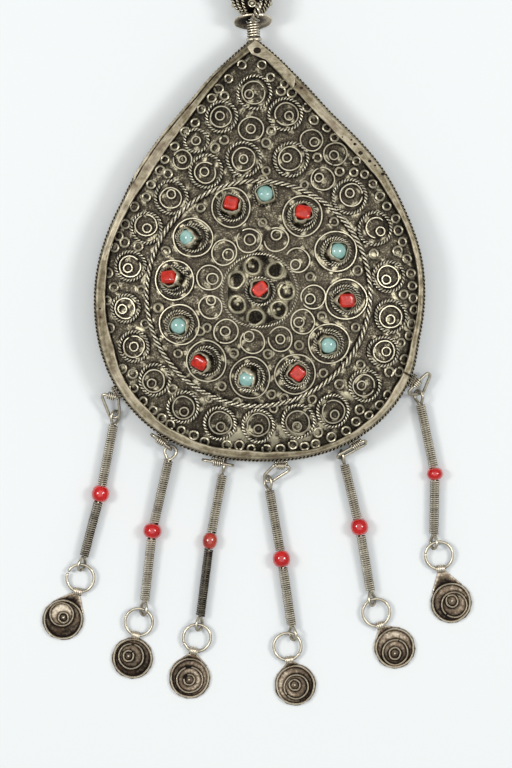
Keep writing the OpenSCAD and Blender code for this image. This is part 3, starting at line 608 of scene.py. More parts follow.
# Stones and their cups, sizes in mm
stone = {
    # as in the frame: direction and distance from the centre, whether coral, then the outer diameters of the
    # plain ring (0 for none) and the rope ring, the stone's turn in degrees, and how far its cup has been
    # pushed over to the right and up, in the photograph's pixels
    "rows": [
        (87.3, 26.2, False, 0, 6.9, 0, 0, 0), (60.8, 23.2, True, 11.3, 8.4, -12, 0, 3.2),
        (28.0, 23.0, False, 11.5, 8.4, 0, 2.2, 0), (354.8, 23.1, True, 11.5, 8.4, 4, 0, -1.2),
        (323.0, 23.1, False, 11.3, 8.4, 0, -1, -1.8), (293.1, 24.0, True, 11.3, 8.4, -38, 2, 1.5),
        (263.4, 23.2, False, 11.4, 8.4, 0, -4, -1), (232.4, 23.5, True, 11.3, 8.3, -30, -6.5, -1),
        (202.2, 23.3, False, 11.2, 8.2, 0, -0.5, -1.5), (172.3, 23.1, True, 11.0, 8.4, 5, -5.2, 2.8),
        (141.2, 23.0, False, 11.0, 8.4, 0, -6.2, 0), (108.9, 23.8, True, 11.0, 8.2, -14, 0.5, 3.6),
        (90.0, 0.0, True, 0, 8.1, 38, 0, 2),
    ],
    "coral": (2.05, 1.8, 1.7), "turquoise": (2.2, 2.2, 1.7),  # half sizes
    "coralPower": 0.42, "lift": 1.25,
    "ropeWidth": 0.9, "footRope": 7.0, "footRopeWidth": 0.75,
    "slides": 0.7, "leans": 0.16,  # how much of a push moves a cup's foot, and how far the rest tilts it
}

laid = []  # every ring on the plate: x, y, radius to the middle of its wire, half its width


# A rope ring laid on the plate, by its outer diameter
def layRope(centre, diameter, seed, width=None):
    width = width or plateRings["ropeWidth"]
    radius = diameter / 2 - width / 2
    path, normal = onPlate(centre, radius, width * 0.42, 96, wave=0.02, seed=seed)
    laid.append((*centre, radius, width / 2))
    pitch = plateRings["ropePitch"] * width / plateRings["ropeWidth"]
    return rope(path, normal, width, pitch, stepsPerTurn=12)


# A plain ring of flattened wire, by its outer diameter, open from one direction to the other
def layPlain(centre, diameter, seed, opening=(0, 0), width=None, count=44, sides=8, wave=0.022):
    width = width or plateRings["plainWidth"]
    radius = diameter / 2 - width / 2
    gap = opening[1] - opening[0]
    path, normal = onPlate(centre, radius, 0.22, count if gap <= 0 else max(8, int(count * (1 - gap / 360))),
                           start=opening[1], turn=360 - max(gap, 0), wave=wave, seed=seed)
    laid.append((*centre, radius, width / 2))
    return wire(path, normal, width / 2, plateRings["plainHeight"] / 2, sides=sides, closed=gap <= 0)


ropeShapes, stoneRopes, plainShapes, smallShapes = [], [], [], []
px = photo["mmPerPixel"]
for k, (x, y, d, x2, y2, d2, x3, y3, g1, g2) in enumerate(plateRings["motifs"]):
    ropeShapes += layRope(fromPhoto(x, y), d * px, 100 + k)
    if d2:
        plainShapes.append(layPlain(fromPhoto(x2, y2), d2 * px, 200 + k, (g1, g2)))
    plainShapes.append(layPlain(fromPhoto(x3, y3), plateRings["innerDiameter"], 300 + k,
                                width=plateRings["innerWidth"], count=26))
for k, (x, y, d, x2, y2, d2, g1, g2) in enumerate(plateRings["pairs"]):
    plainShapes.append(layPlain(fromPhoto(x, y), d * px, 400 + k, (g1, g2)))
    plainShapes.append(layPlain(fromPhoto(x2, y2), d2 * px, 500 + k, count=26))
for k, (angle, distance, isCoral, plain, twisted, turn, *pushed) in enumerate(stone["rows"]):
    centre = distance * direction(angle)
    if plain:
        plainShapes.append(layPlain(centre, plain, 600 + k))
    stoneRopes += layRope(centre, twisted, 700 + k, stone["ropeWidth"])
    if plain:  # a second, thinner rope goes round the cup
        foot = centre + stone["slides"] * np.array(pushed) * px
        stoneRopes += layRope(foot, stone["footRope"], 720 + k, stone["footRopeWidth"])


# A small ring between the others, its size and opening drawn by its own number
def laySmall(centre, seed):
    rng = np.random.default_rng(seed)
    open1 = rng.uniform(0, 360)
    gap = rng.choice(plateRings["smallGaps"])
    d = plateRings["smallDiameter"] * rng.uniform(0.94, 1.08)
    return layPlain(centre, d, seed, (open1, open1 + gap), plateRings["smallWidth"], count=18, sides=6,
                    wave=0.03)


for k, (x, y) in enumerate(plateRings["singles"]):
    smallShapes.append(laySmall(fromPhoto(x, y), 800 + k))
for k, (angle, inset) in enumerate(plateRings["besideBand"]):
    smallShapes.append(laySmall(direction(angle) * innerReach(angle, inset), 1000 + k))
print("rings laid:", len(laid))

# The boss: a rope round its foot and seven small rings of thick wire, some with a granule inside
boss = {
    "ringAngles": [106, 54, 0, -44, -100, -150, 154],
    "ringOpenings": [(0, 0), (0, 0), (60, 120), (0, 0), (200, 230), (0, 0), (0, 0)],
    "ringDistance": 6.9,
    "ringDiameter": 5.1,
    "ringWidth": 0.85,
    "ropeCentre": (-0.3, 0.2),
    "ropeDiameter": 20.4,
    "ropeWidth": 0.9,
    "granules": [0, 2, 3, 5],
    "granuleSize": [(0.55, 0.55, 0.5), (0.5, 0.95, 0.5), (0.6, 0.5, 0.5), (0.5, 0.5, 0.5)],
}
bossRope = layRope(boss["ropeCentre"], boss["ropeDiameter"], 30, boss["ropeWidth"])
bossShapes, granuleShapes = [], []
bossSpots = boss["ringDistance"] * direction(boss["ringAngles"])
for k, spot in enumerate(bossSpots):
    bossShapes.append(layPlain(spot, boss["ringDiameter"], 40 + k, boss["ringOpenings"][k],
                               boss["ringWidth"], wave=0.05))
for k, size in zip(boss["granules"], boss["granuleSize"]):
    top = withZ(bossSpots[k], plateZ(*bossSpots[k]) + 0.15)
    granuleShapes.append(ball(top, size, 12, 6))

# The rope circle round the stones: the thickest twisted wire on the plate
ropeCircle = {"radius": 30.0, "width": 1.4, "pitch": 4.8, "lift": 0.6, "centre": (-0.5, -0.5)}
circlePath, circleUp = onPlate(ropeCircle["centre"], ropeCircle["radius"], ropeCircle["lift"], 240,
                               wave=0.004, seed=9)
circleShapes = rope(circlePath, circleUp, ropeCircle["width"], ropeCircle["pitch"], strands=3, sides=8,
                    stepsPerTurn=20)
laid.append((*ropeCircle["centre"], ropeCircle["radius"], ropeCircle["width"] / 2))

# the boss rings and granules keep the painted light and shade of their tone, halved and raised
bossShapes = [(points, faces, 0.55 * tone + 0.55) for points, faces, tone in bossShapes + granuleShapes]
for name, shapes, silver in (
        ("ropeCircle", circleShapes, ropeSilver), ("ropeRings", ropeShapes, ropeSilver),
        ("stoneRopes", stoneRopes, ropeSilver), ("plainRings", plainShapes, wireSilver),
        ("smallRings", smallShapes, wireSilver), ("bossRope", bossRope, ropeSilver),
        ("bossRings", bossShapes, sheetSilver)):
    makePiece(name, shapes, silver, ["front_plate"])

# The flat band and the wall under it, bent from one strip. Directions are in degrees.
band = {
    "columns": 720,
    "cornerRound": 0.45,
    "pressed": (98, 140),  # from and to: here the wall's top is folded over; the seam under the fold is painted dark as shade, and the folded strip painted lighter as if lit from the side
    "lipRise": 0.12,
    "joint": 330.8,  # where the strip's two lengths meet in a dark line
    # the band is uneven by hand: direction and where its inner edge is, in mm inside the outline
    "insets": [
        (91.4, 2.9), (95, 2.6), (99, 2.3), (102, 2.85), (107, 2.8), (113, 3.45), (119, 3.65), (127, 4.05),
        (136, 3.95), (140, 3.6), (142.5, 3.05), (155, 2.8), (161, 2.65), (168, 2.75), (174, 3.2), (180, 3.4),
        (186, 3.35), (193, 3.65), (199, 4.1), (206, 3.85), (209, 3.45), (215, 3.35), (221, 3.6), (227, 3.65),
        (234, 3.05), (240, 3.35), (247, 3.05), (253, 2.85), (260, 3.2), (266, 3.15), (272, 2.8), (277, 2.8),
        (283, 2.45), (289, 2.2), (296, 2.35), (302, 2.4), (309, 2.6), (315, 2.55), (321, 2.85), (325, 3.15),
        (331, 2.75), (337, 2.6), (343, 2.4), (350, 2.25), (360, 2.15), (386, 2.2), (391, 2.45), (396, 2.95),
        (402, 2.95), (408, 3.45), (414, 3.6), (422, 3.85), (428, 3.45), (435, 3.6), (442, 3.65), (448, 3.4),
        (451.4, 2.9),
    ],
    # how much brighter or darker the band is, by direction
    "tones": [
        (91.4, -0.5), (103, -0.35), (112, 0.0), (125, 0.35), (150, 0.35), (165, 0.1), (180, -0.15),
        (205, -0.15), (209, 0.45), (216, 0.1), (235, 0.0), (260, -0.1), (290, -0.15), (315, 0.05),
        (328, 0.4), (332, -0.05), (360, -0.15), (395, -0.1), (405, 0.1), (425, 0.25), (440, -0.1),
        (451.4, 0.3),
    ],
    # a painted highlight on its lip along the inner edge, and how strong it is, by direction
    "lipHighlights": [
        (91.4, 0), (208, 0), (212, 0.9), (268, 0.7), (275, 0), (311, 0), (316, 1.4), (329, 1.6), (331, 0),
        (451.4, 0),
    ],
    # dark pits in it, flat spots painted dark for the shade and dirt in them: direction, mm inside the
    # outline, and radius in mm
    "pits": [
        (403.8, 1.2, 0.5), (407.7, 1.6, 0.3), (410.0, 2.0, 0.45), (414.1, 2.5, 0.6), (417.3, 2.0, 0.45),
        (419.0, 1.9, 0.3), (422.0, 3.1, 0.3), (438.5, 1.9, 0.45), (440.5, 2.4, 0.5), (186.0, 1.85, 0.3),
        (189.0, 1.9, 0.3), (307.0, 1.25, 0.35),
    ],
}

# Solder that ran out between the rings and was rubbed bright, in the photograph's pixels: place and radius
solder = [
    (240, 436, 8), (228, 439, 6), (250, 431, 5), (246, 421, 4), (272, 437, 6), (283, 431, 6), (300, 437, 8),
    (314, 431, 6), (323, 424, 5), (281, 230, 3.5), (259, 240, 3), (242, 259, 3.5), (272, 261, 4),
    (246, 276, 3), (236, 268, 4), (283, 274, 5), (287, 289, 5), (283, 303, 4), (272, 313, 4),
    (253, 305, 3), (238, 301, 4), (242, 322, 4), (231, 283, 4), (166, 372, 5), (205, 400, 5),
    (350, 395, 5), (262, 105, 4), (190, 226, 4), (205, 160, 3), (330, 210, 4), (372, 255, 4),
    (145, 275, 4), (141, 330, 4), (396, 300, 4), (250, 265, 3),
]


# A cup is a strip bent round the stone and pressed over its edge: an uneven rim, leaning in at the top
cup = {"radius": 2.75, "wall": 0.34, "height": 2.1, "pressedIn": 0.35, "flare": 0.75,
       # stones whose cup is pressed in further, and those whose foot doesn't spread towards the centre
       "tight": {7: 0.8, 11: 0.7}, "spread": {8: 330, 13: 120}}


# What the front sheet shows, in mm: how high its dents and its run solder are, and how far patina and painted
# shade reach along a wire, a fillet of bright solder beside one, and a painted shadow along the band's edge
sheet = {"dents": 0.05, "solder": 0.25, "shadeAndPatinaReach": 0.45, "filletReach": 0.5, "bandShadowReach": 0.35}


# The domed sheet: rows from the centre to the tucked edge, then back underneath, lifted by dents sin sin.
# Its tone is 0.75 (1 - exp(-distance to the nearest wire / shadeAndPatinaReach)) - 0.55: darker along the
# wires, as patina on the solder and as painted shade where the wires meet the sheet.
def frontSheet(rows=104, columns=360, underRows=5):
    a = plaque["apex"] + 360 * np.arange(columns) / columns
    edge = innerReach(a, plateInset - 0.95)
    f = np.arange(1, rows + 1)[:, None] / rows
    x, y = f * edge * np.cos(np.radians(a)), f * edge * np.sin(np.radians(a))
    hills = np.sin(0.9 * x + 1.3 * np.sin(0.5 * y)) * np.sin(0.8 * y + np.sin(0.6 * x))
    dents = sheet["dents"] * hills * (f < 0.97)
    away = np.full(x.shape, 9.0)
    for cx, cy, r, w in laid:
        away = np.minimum(away, np.abs(np.hypot(x - cx, y - cy) - r) - w)
    tone = 0.75 * (1 - np.exp(-np.maximum(away, 0) / sheet["shadeAndPatinaReach"])) - 0.55
    # fillets of bright solder beside some wires: patches where a product of two sines is high
    patches = np.sin(1.1 * x + 1.7 * np.sin(0.7 * y)) * np.sin(1.0 * y + 1.3 * np.sin(0.8 * x) + 2)
    fillets = np.exp(-(np.maximum(away, 0) / sheet["filletReach"]) ** 2)
    tone = tone + 1.5 * np.clip((patches - 0.35) / 0.4, 0, 1) * fillets
    bearing = np.degrees(np.arctan2(y, x))
    bearing = plaque["apex"] + (bearing - plaque["apex"]) % 360
    bandEdge = innerReach(bearing, np.interp(bearing, *np.array(band["insets"]).T))
    fromBand = np.maximum(bandEdge - np.hypot(x, y), 0)
    # a painted shadow on the sheet just inside the band's edge
    tone = tone - 0.8 * np.exp(-(fromBand / sheet["bandShadowReach"]) ** 2)
    # on the boss the solder has run along the rings' walls, and dirt fills the rest
    fromSpots = np.min([np.hypot(x - cx, y - cy) for cx, cy in bossSpots], axis=0)
    fromRings = fromSpots - boss["ringDiameter"] / 2
    onBoss = (np.hypot(x, y) < plaque["bossRadius"] - 0.3) & (np.hypot(x, y) > cup["radius"])
    along = 1.25 * np.exp(-(np.maximum(fromRings, 0) / 0.45) ** 2) * np.clip(0.75 + 0.6 * patches, 0, 1)
    flooded = np.where(fromRings < -0.5, -0.45, along - 0.5)
    tone = np.where(onBoss, flooded, tone)
    for sx, sy, sr in solder:
        cx, cy = fromPhoto(sx, sy)
        bearing = np.arctan2(y - cy, x - cx)
        uneven = 1 + wobble(bearing, int(sx + sy), [(2, 0.25), (3, 0.2), (5, 0.15)])
        far = np.hypot(x - cx, y - cy) / (sr * px * uneven)
        tone = tone + 1.3 * np.exp(-far ** 6) * (f < 0.98)
        dents = dents + sheet["solder"] * np.exp(-far ** 4) * (f < 0.97)
    top = np.stack([x, y, plateZ(x, y) + dents], -1)
    g = np.linspace(1, 0.15, underRows)[:, None]
    ux, uy = g * edge * np.cos(np.radians(a)), g * edge * np.sin(np.radians(a))
    under = np.stack([ux, uy, plateZ(ux, uy) - plaque["sheet"]], -1)
    grid = np.concatenate([top, under])
    tones = np.concatenate([tone, np.zeros(ux.shape)])
    peak = plaque["plateEdgeZ"] + plaque["crown"] + plaque["shoulder"] + plaque["bossRise"]
    return closedGrid(grid, np.array([0, 0, peak]), np.array([0, 0, peak - plaque["sheet"]]), tones)


makePiece("frontSheet", [frontSheet()], sheetSilver, ["front_plate"])
print("front plate done")


# Cups and stones stand on the plate: x and y of a frame at the foot, with the way up third. A pushed cup
# has slid by most of its push and leans by the rest.
def stoneFrame(angle, distance, turn, pushed):
    push = np.array(pushed) * photo["mmPerPixel"]
    spot = distance * direction(angle) + stone["slides"] * push
    up = unit(plateNormal(spot[:1], spot[1:])[0] + withZ(push * stone["leans"], 0))
    side = unit(np.cross([0, 1, 0], up))
    ahead = np.cross(up, side)
    c, s = np.cos(np.radians(turn)), np.sin(np.radians(turn))
    return withZ(spot, plateZ(*spot)), np.stack([c * side + s * ahead, c * ahead - s * side, up])


# Radius of a cup's strip: cup radius (1 + squareness), half its wall out or in, less pressedIn
# (height / cup height)^3 at the rim, and more by flare foot^3 (1 - height / cup height)^1.6 at the foot
def cupShape(seed, pressedIn, spread):
    t = np.linspace(0, 2 * np.pi, 64, endpoint=False)
    square = wobble(t, seed, [(4, 0.065), (3, 0.045), (7, 0.02)])
    rim = cup["height"] + wobble(t, seed + 1, [(3, 0.12), (5, 0.1), (9, 0.06)])
    v = np.linspace(0, 2 * np.pi, 12, endpoint=False)
    side, up = np.sign(np.cos(v)) * np.abs(np.cos(v)) ** 0.5, np.sign(np.sin(v)) * np.abs(np.sin(v)) ** 0.7
    height = (0.5 * (up + 1))[None, :] * (rim[:, None] + 0.3) - 0.3
    r = cup["radius"] * (1 + square[:, None]) + cup["wall"] / 2 * side[None, :]
    r = r - pressedIn * np.clip(height / cup["height"], 0, 1.2) ** 3
    foot = 0.5 + 0.5 * np.cos(t - np.radians(spread))[:, None]
    r = r + cup["flare"] * foot ** 3 * (1 - np.clip(height / cup["height"], 0, 1)) ** 1.6
    points = np.stack([r * np.cos(t)[:, None], r * np.sin(t)[:, None], height], -1).reshape(-1, 3)
    patchy = wobble(t, seed + 2, [(5, 0.3), (8, 0.25), (13, 0.2)])[:, None]
    # tone: brighter towards the rim and darker towards the foot, with lighter patches on the spread side of
    # the foot
    tone = 3.2 * (height / rim[:, None]) ** 3 - 1.3 + (0.9 + 1.6 * patchy) * foot ** 4
    return points, outward(points, [gridFaces(64, 12, True, True)]), np.clip(tone, -1, 1.2).ravel()


# Corals are short lengths of worn bead: a box-like ball (cosines raised to a small power) with lumps.
# Turquoises are round cabochons.
def layStones():
    cups = []
    for k, (angle, distance, isCoral, plain, twisted, turn, *pushed) in enumerate(stone["rows"]):
        origin, axes = stoneFrame(angle, distance, turn, pushed)
        spread = cup["spread"].get(k + 1, angle + 180) - turn
        points, faces, tone = cupShape(2000 + k, cup["tight"].get(k + 1, cup["pressedIn"]), spread)
        cups.append((origin + points @ axes, faces, tone))
        if isCoral:
            rng = np.random.default_rng(60 + k)
            size = np.array(stone["coral"]) * rng.uniform(0.93, 1.06, 3)
            lump = lambda u, v, s=k: 1 + 0.03 * np.sin(2 * u + s) * np.cos(v) + 0.025 * np.sin(3 * v + s)
            shape = ball(origin + stone["lift"] * axes[2], size, 40, 25, axes, stone["coralPower"], lump)
            makePiece(f"coral{k + 1}", [shape], coral, [f"stone_{k + 1}"], sharpAbove=75)
        else:
            shape = ball(origin + (stone["lift"] - 0.2) * axes[2], stone["turquoise"], 40, 25, axes)
            makePiece(f"turquoise{k + 1}", [shape], turquoise, [f"stone_{k + 1}"], sharpAbove=75)
    makePiece("stoneCups", cups, cupSilver, ["front_plate"])


layStones()
print("stones set")


# Directions spaced so that the outline's points lie evenly along it, starting at the apex
def rimAngles(count):
    a = plaque["apex"] + np.linspace(0, 360, 4001)
    p = direction(a) * reach(a)[:, None]
    travelled = np.concatenate([[0], np.cumsum(np.linalg.norm(np.diff(p, axis=0), axis=1))])
    at = np.linspace(0, travelled[-1], count, endpoint=False)
    return np.interp(at, travelled, a), at


# The strip: each row of its profile runs round at the outline moved inwards by an inset, at a height. Where
# it is pressed, inset, height and tone go over to the folded ones. Its own places are length, inset, height.
def caseStrip():
    a, along = rimAngles(band["columns"])
    t = 2 * np.pi * along / along[-1]
    out, inner = plaque["edgeWire"], plaque["edgeWire"] + plaque["bandWidth"]
    top, low, s, c = plaque["rimZ"], plaque["backZ"], plaque["sheet"], band["cornerRound"]
    start, stop = band["pressed"]
    far = np.clip((a - start) / (stop - start), 0, 1)
    pressed = np.clip(5 * np.sin(np.pi * far), 0, 1)
    pressed = pressed * np.clip(0.85 + wobble(t, 5, [(23, 0.1), (41, 0.1)]), 0, 1)
    broken = wobble(t, 6, [(37, 0.5), (59, 0.4), (83, 0.3)]) < -0.25
    knots, insets = np.array(band["insets"]).T
    edge = np.interp(a, knots, insets)
    edge = np.convolve(np.pad(edge, 6, "wrap"), np.hanning(15)[1:-1] / np.hanning(15).sum(), "valid")
    edge = edge + wobble(t, 3, [(29, 0.03), (47, 0.03), (71, 0.02)])
    lengthTone = np.interp(a, *np.array(band["tones"]).T) - 1.8 * np.exp(-((a - band["joint"]) / 0.35) ** 2)
    rise = wobble(t, 4, [(7, 0.05), (13, 0.05), (31, 0.03)])
    shine = np.interp(a, *np.array(band["lipHighlights"]).T)
    lip = top + band["lipRise"] * 0.6
    # rows of the profile: inset, height and tone, the same three where the wall's top is folded over, if they
    # differ there, then how far the row follows the uneven edge and the rise
    # The tones paint shade at the wall's foot, in the fold's seam and under the band's inner edge, light on
    # the folded strip and a highlight on the lip.
    profile = [
        (out + 0.15, low, -0.6, None, 0, 0), (out, low + 0.15, -0.5, None, 0, 0),
        (out + 0.05, low + 2.3, 0.1, None, 0, 0), (out, top - 1.6, 0.1, (out - 0.35, top - 1.6, 0.3), 0, 0),
        (out, top - 0.8, 0.1, (out - 0.5, top - 0.75, 0.7), 0, 0),
        (out, top - c, 0.2, (out - 0.4, top - 0.5, 0.9), 0, 0.2),
        (out + 0.06, top - 0.25, 0.4, (out + 0.1, top - 0.36, 0.7), 0, 0.3),
        (out + 0.13, top - 0.13, 0.5, (out + 0.27, top - 0.5, -1), 0, 0.5),
        (out + 0.3, top - 0.04, 0.5, (out + 0.46, top - 0.4, -1), 0, 0.6),
        (out + c, top, 0.5, (out + 0.6, top - 0.05, 0.3), 0, 0.8),
        (out + 0.9, top - 0.04, 0.2, (out + 0.9, top, 0.2), 0.1, 1),
        (out + 1.2, top - 0.02, 0.2, (out + 1.3, top - 0.02, 0.2), 0.5, 1),
        (inner - 0.6, top + 0.02, 0.3, None, 1, 1), (inner - 0.2, lip, 0.8, None, 1, 1),
        (inner, top - 0.12, 0.6, None, 1, 1), (inner + 0.02, top - 0.35, -1, None, 1, 0.8),
        (inner - 0.15, top - s, -1, None, 1, 0.5), (out + s + 0.3, top - s, -1, None, 0, 0),
        (out + s, top - s - 0.4, -1, None, 0, 0), (out + s, low + 0.1, -1, None, 0, 0),
    ]
    rows, tones, strips = [], [], []
    for inset, z, tone, folded, follow, lift in profile:
        inset2, z2, tone2 = folded or (inset, z, tone)
        d = inset + pressed * (inset2 - inset) + follow * (edge - inner)
        height = z + pressed * (z2 - z) + lift * rise
        share = np.where(broken & (tone2 < -0.9), 0.3, 1) * pressed
        rows.append(withZ(direction(a) * innerReach(a, d)[:, None], height))
        # tone along the band with its dark joint, lighter where it rises, and on the lip rows a painted
        # highlight
        wearAndHighlight = lengthTone + 2 * follow * rise if tone > -0.9 else 0
        wearAndHighlight = wearAndHighlight + shine if follow == 1 and tone > 0.5 else wearAndHighlight
        tones.append(tone + share * (tone2 - tone) + wearAndHighlight)
        strips.append(np.stack([along, d, height], -1))
    points = np.stack(rows, 1).reshape(-1, 3)
    faces = outward(points, [gridFaces(len(a), len(profile), True, True)])
    return (points, faces, np.clip(np.stack(tones, 1).ravel(), -1.2, 1.4)), np.stack(strips, 1).reshape(-1, 3)


strip, stripPlaces = caseStrip()
makePiece("bandAndWall", [strip], bandSilver, ["case"], strip=stripPlaces, sharpAbove=50)


# At the apex the right end of the band laps over the left, flattened, with a painted glint at its end and a
# dent drawn as a flat spot painted dark for its shade and dirt
lap = {"until": 80.5, "corners": [(246.8, 47.5), (251.5, 54.5)], "low": 10.25, "high": 10.6, "width": 3.3,
       "endGlint": (250.0, 50.0), "dent": (257.2, 51.0), "dentSize": (1.05, 0.85, 0.12)}


# Its outline runs along the rim, back along the band's inner edge and over the end's two corners. Rows are
# middle + share (outline - middle), at a height.
def lapShapes():
    a = np.linspace(plaque["apex"] - 0.3, lap["until"], 14)
    outer = direction(a) * innerReach(a, plaque["edgeWire"] + 0.05)[:, None]
    b = np.linspace(lap["until"], plaque["apex"] - 2.6, 12)
    inner = direction(b) * innerReach(b, lap["width"])[:, None]
    end = np.array([fromPhoto(x, y) for x, y in lap["corners"][::-1]])
    outline = np.concatenate([outer, inner, end])
    closed = np.concatenate([outline, outline[:1]])
    travelled = np.concatenate([[0], np.cumsum(np.hypot(*np.diff(closed, axis=0).T))])
    at = np.linspace(0, travelled[-1], 120, endpoint=False)
    outline = np.stack([np.interp(at, travelled, closed[:, k]) for k in range(2)], -1)
    middle = outline.mean(0)
    foot, top = lap["low"] - 0.3, lap["high"]
    rows, tones = [], []
    for share, z, tone in [(0.99, foot, -1), (1, top - 0.18, -0.9), (0.985, top - 0.04, 0.9),
                           (0.95, top, 0.5), (0.8, top - 0.05, 0.3), (0.5, top - 0.03, 0.4)]:
        rows.append(withZ(middle + (outline - middle) * share, z))
        tones.append(np.full(len(outline), tone))
    points, faces, tone = closedGrid(np.stack(rows), withZ(middle, foot), withZ(middle, top), np.stack(tones))
    # a painted glint near the lap's end; its rim rows are painted light on top and dark at the foot
    fromEnd = np.hypot(*(points[:, :2] - fromPhoto(*lap["endGlint"])).T)
    shapes = [(points, faces, np.clip(tone + 1.5 * np.exp(-(fromEnd / 1.3) ** 2), -1, 1.6))]
    # the dent and the band's pits: flat spots painted dark for their shade and dirt
    spots = [(fromPhoto(*lap["dent"]), lap["high"], 1.0)]
    spots += [(direction(b) * innerReach(b, inset), plaque["rimZ"], radius)
              for b, inset, radius in band["pits"]]
    for xy, z, radius in spots:
        spot = ball(withZ(xy, z), np.array(lap["dentSize"]) * [radius, radius, 1], 16, 5)
        shapes.append((spot[0], spot[1], np.full(len(spot[2]), -1.6)))
    return shapes


lapPieces = lapShapes()
lapPlaces = np.concatenate([shape[0] for shape in lapPieces])
makePiece("bandLap", lapPieces, bandSilver, ["case"], strip=lapPlaces)


# The back plate: rows at an inset and a height round the edge, closed by a flat fan on each side
def backPlate(columns=240):
    a = rimAngles(columns)[0]
    rim = plaque["edgeWire"] + 0.45
    # the first and last row keep the rounding of the edge from shading the flat sheet
    rows = [(rim + 0.7, 3.62), (rim + 0.2, 3.62), (rim, 3.75), (rim, 4.1), (rim + 0.2, 4.2), (rim + 0.7, 4.2)]
    points = np.stack([withZ(direction(a) * innerReach(a, d)[:, None], z) for d, z in rows])
    return closedGrid(points, np.array([0, 0, 3.62]), np.array([0, 0, 4.2]), np.full(points.shape[:2], 0.4))


makePiece("backPlate", [backPlate()], backSilver, ["case"])

# The twisted wire round the rim, with a thin wire in its middle painted dark as the shade between the strands
edgeWire = {"inset": 0.38, "lift": 0.42, "width": 0.76, "pitch": 2.1, "core": 0.2}
straightUp = np.array([0, 0, 1.0])
edgeAngles = rimAngles(1200)[0]
edgePath = withZ(direction(edgeAngles) * innerReach(edgeAngles, edgeWire["inset"])[:, None],
                 plaque["backZ"] + edgeWire["lift"])
edgeShapes = rope(edgePath, straightUp, edgeWire["width"], edgeWire["pitch"])
edgeShapes.append(wire(edgePath, straightUp, edgeWire["core"], sides=6,
                       tone=lambda points: np.full(points.shape[:2], -1.0)))
makePiece("edgeWire", edgeShapes, edgeSilver, ["case"])
print("case done")

# Six drops, as in the frame, from left to right, in mm and degrees
drop = {
    # direction of the staple, clearance from the edge wire, turn of the staple and tilt of the link
    "hangers": [
        (214.9, 2.1, -17, 22), (236.5, 1.2, -38, 82), (256.0, 1.2, -11, 90), (276.9, 1.2, -4, 24),
        (302.3, 1.2, 29, 60), (329.9, 1.9, 45, 38),
    ],
    # the bends of each link: along, out and radius
    "links": [
        [(-1.5, 0.8, 0.8), (1.5, 0.8, 0.8), (2.0, 4.4, 1.5)], [(-2.2, 1, 1), (2.4, 1, 1)],
        [(-3, 1.05, 1.05), (3.2, 1.05, 1.05)], [(-1.5, 0.8, 0.8), (1.5, 0.8, 0.8), (-2.9, 3.6, 1.4)],
        [(-5, 1.05, 1.05), (1.6, 1.05, 1.05)], [(-2.6, 0.85, 0.85), (3.3, 0.85, 0.85), (-0.6, 2.7, 1.1)],
    ],
    # the upper eye of each drop: along the staple, out from it, height, and roll from flat
    "eyes": [
        (2.6, 5.1, 2.2, 128), (3.7, 0.7, 3.2, 168), (1.95, 0.7, 2.1, 90), (-3.2, 4.6, 2.1, 56),
        (-4.8, 0.9, 2.1, 84), (-2.1, 2.9, 2.4, 50),
    ],
    # lean and length of the bar above the bead, the same below it, lean of the way from eye to jump ring, to
    # bail and to disc, and how far the disc's middle is from the bail
    "bars": [
        (-10.8, 21.2, -14.8, 19.9, -5.9, -10.6, -28.0, 8.6),
        (-12.9, 22.0, -6.4, 21.4, -20.9, -14.2, -7.5, 6.3),
        (-10.8, 20.5, -7.3, 22.9, -9.7, -15.2, -7.9, 7.4), (10.0, 21.2, 8.5, 20.6, -23.0, 8.1, 13.5, 7.0),
        (13.5, 19.7, 9.8, 20.0, 18.7, 16.7, 33.2, 7.3), (11.8, 21.5, -0.9, 18.7, 22.8, 6.5, 17.7, 9.6),
    ],
    # radius and half length
    "beads": [
        (2.4, 2.15), (2.5, 1.95), (2.05, 2.1), (2.4, 2.15), (2.45, 2.15), (2.2, 1.6),
    ],
    # how much brighter than usual the upper and the lower coil are
    "coilTones": [
        (0.1, -0.35), (0.0, 0.1), (0.1, -0.7), (0.0, 0.0), (0.1, 0.1), (0.1, 0.0),
    ],
    # where each jump ring's ends meet: from and to
    "jumpOpenings": [
        (147, 162), (60, 62.5), (200, 202.5), (330, 332.5), (150, 153), (172, 175),
    ],
    "wire": 0.4, "bar": 0.36, "barFrom": 1.9,
    "loop": 1.6, "loopTurn": 132, "legs": (0.42, 0.55),  # an eye's radius, half its turn, where its legs end
    "coilRadius": 1.3, "coilWire": 0.25,
    "coilPitch": 0.57,  # as coarse as the photo shows the turns
    "jump": 3.7, "stapleZ": 4.4, "stapleRadius": 1.1, "stapleLength": 2.7, "stapleWire": 0.27, "lowEyeZ": 1.9,
    # twisted wires between a staple and the edge: mm out from the edge, and up from the staple's axis
    "spacers": [(0.35, 0.1), (0.95, 0.35), (0.5, -0.45)], "spacerWidth": 0.72, "spacerPitch": 1.3,
    "lowRoll": 60, "beadHole": 0.75, "beadLip": 0.42, "bailZ": 1.15, "bailRadius": 1.1, "bailHole": 0.68,
    "bailWidth": 2.2, "bailRib": 0.11,
    "discRadius": 5.75,
}


# Where each part of a drop is, worked out from its staple down
def dropPlaces(i):
    angle, clearance, turn, tilt = drop["hangers"][i]
    e, b = drop["eyes"][i], drop["bars"][i]
    staple = (reach(angle) + clearance) * direction(angle)
    upper = withZ(staple + e[0] * direction(turn) + e[1] * direction(turn - 90), e[2])
    bead = withZ(upper[:2] + b[1] * leanFromDown(b[0]), drop["beads"][i][0] + 0.03)
    lower = withZ(bead[:2] + b[3] * leanFromDown(b[2]), drop["lowEyeZ"])
    jump = lower[:2] + drop["jump"] * leanFromDown(b[4])
    bail = jump + drop["jump"] * leanFromDown(b[5])
    disc = bail + b[7] * leanFromDown(b[6])
    return {"staple": staple, "upper": upper, "bead": bead, "lower": lower, "jump": jump, "bail": bail,
            "disc": disc}


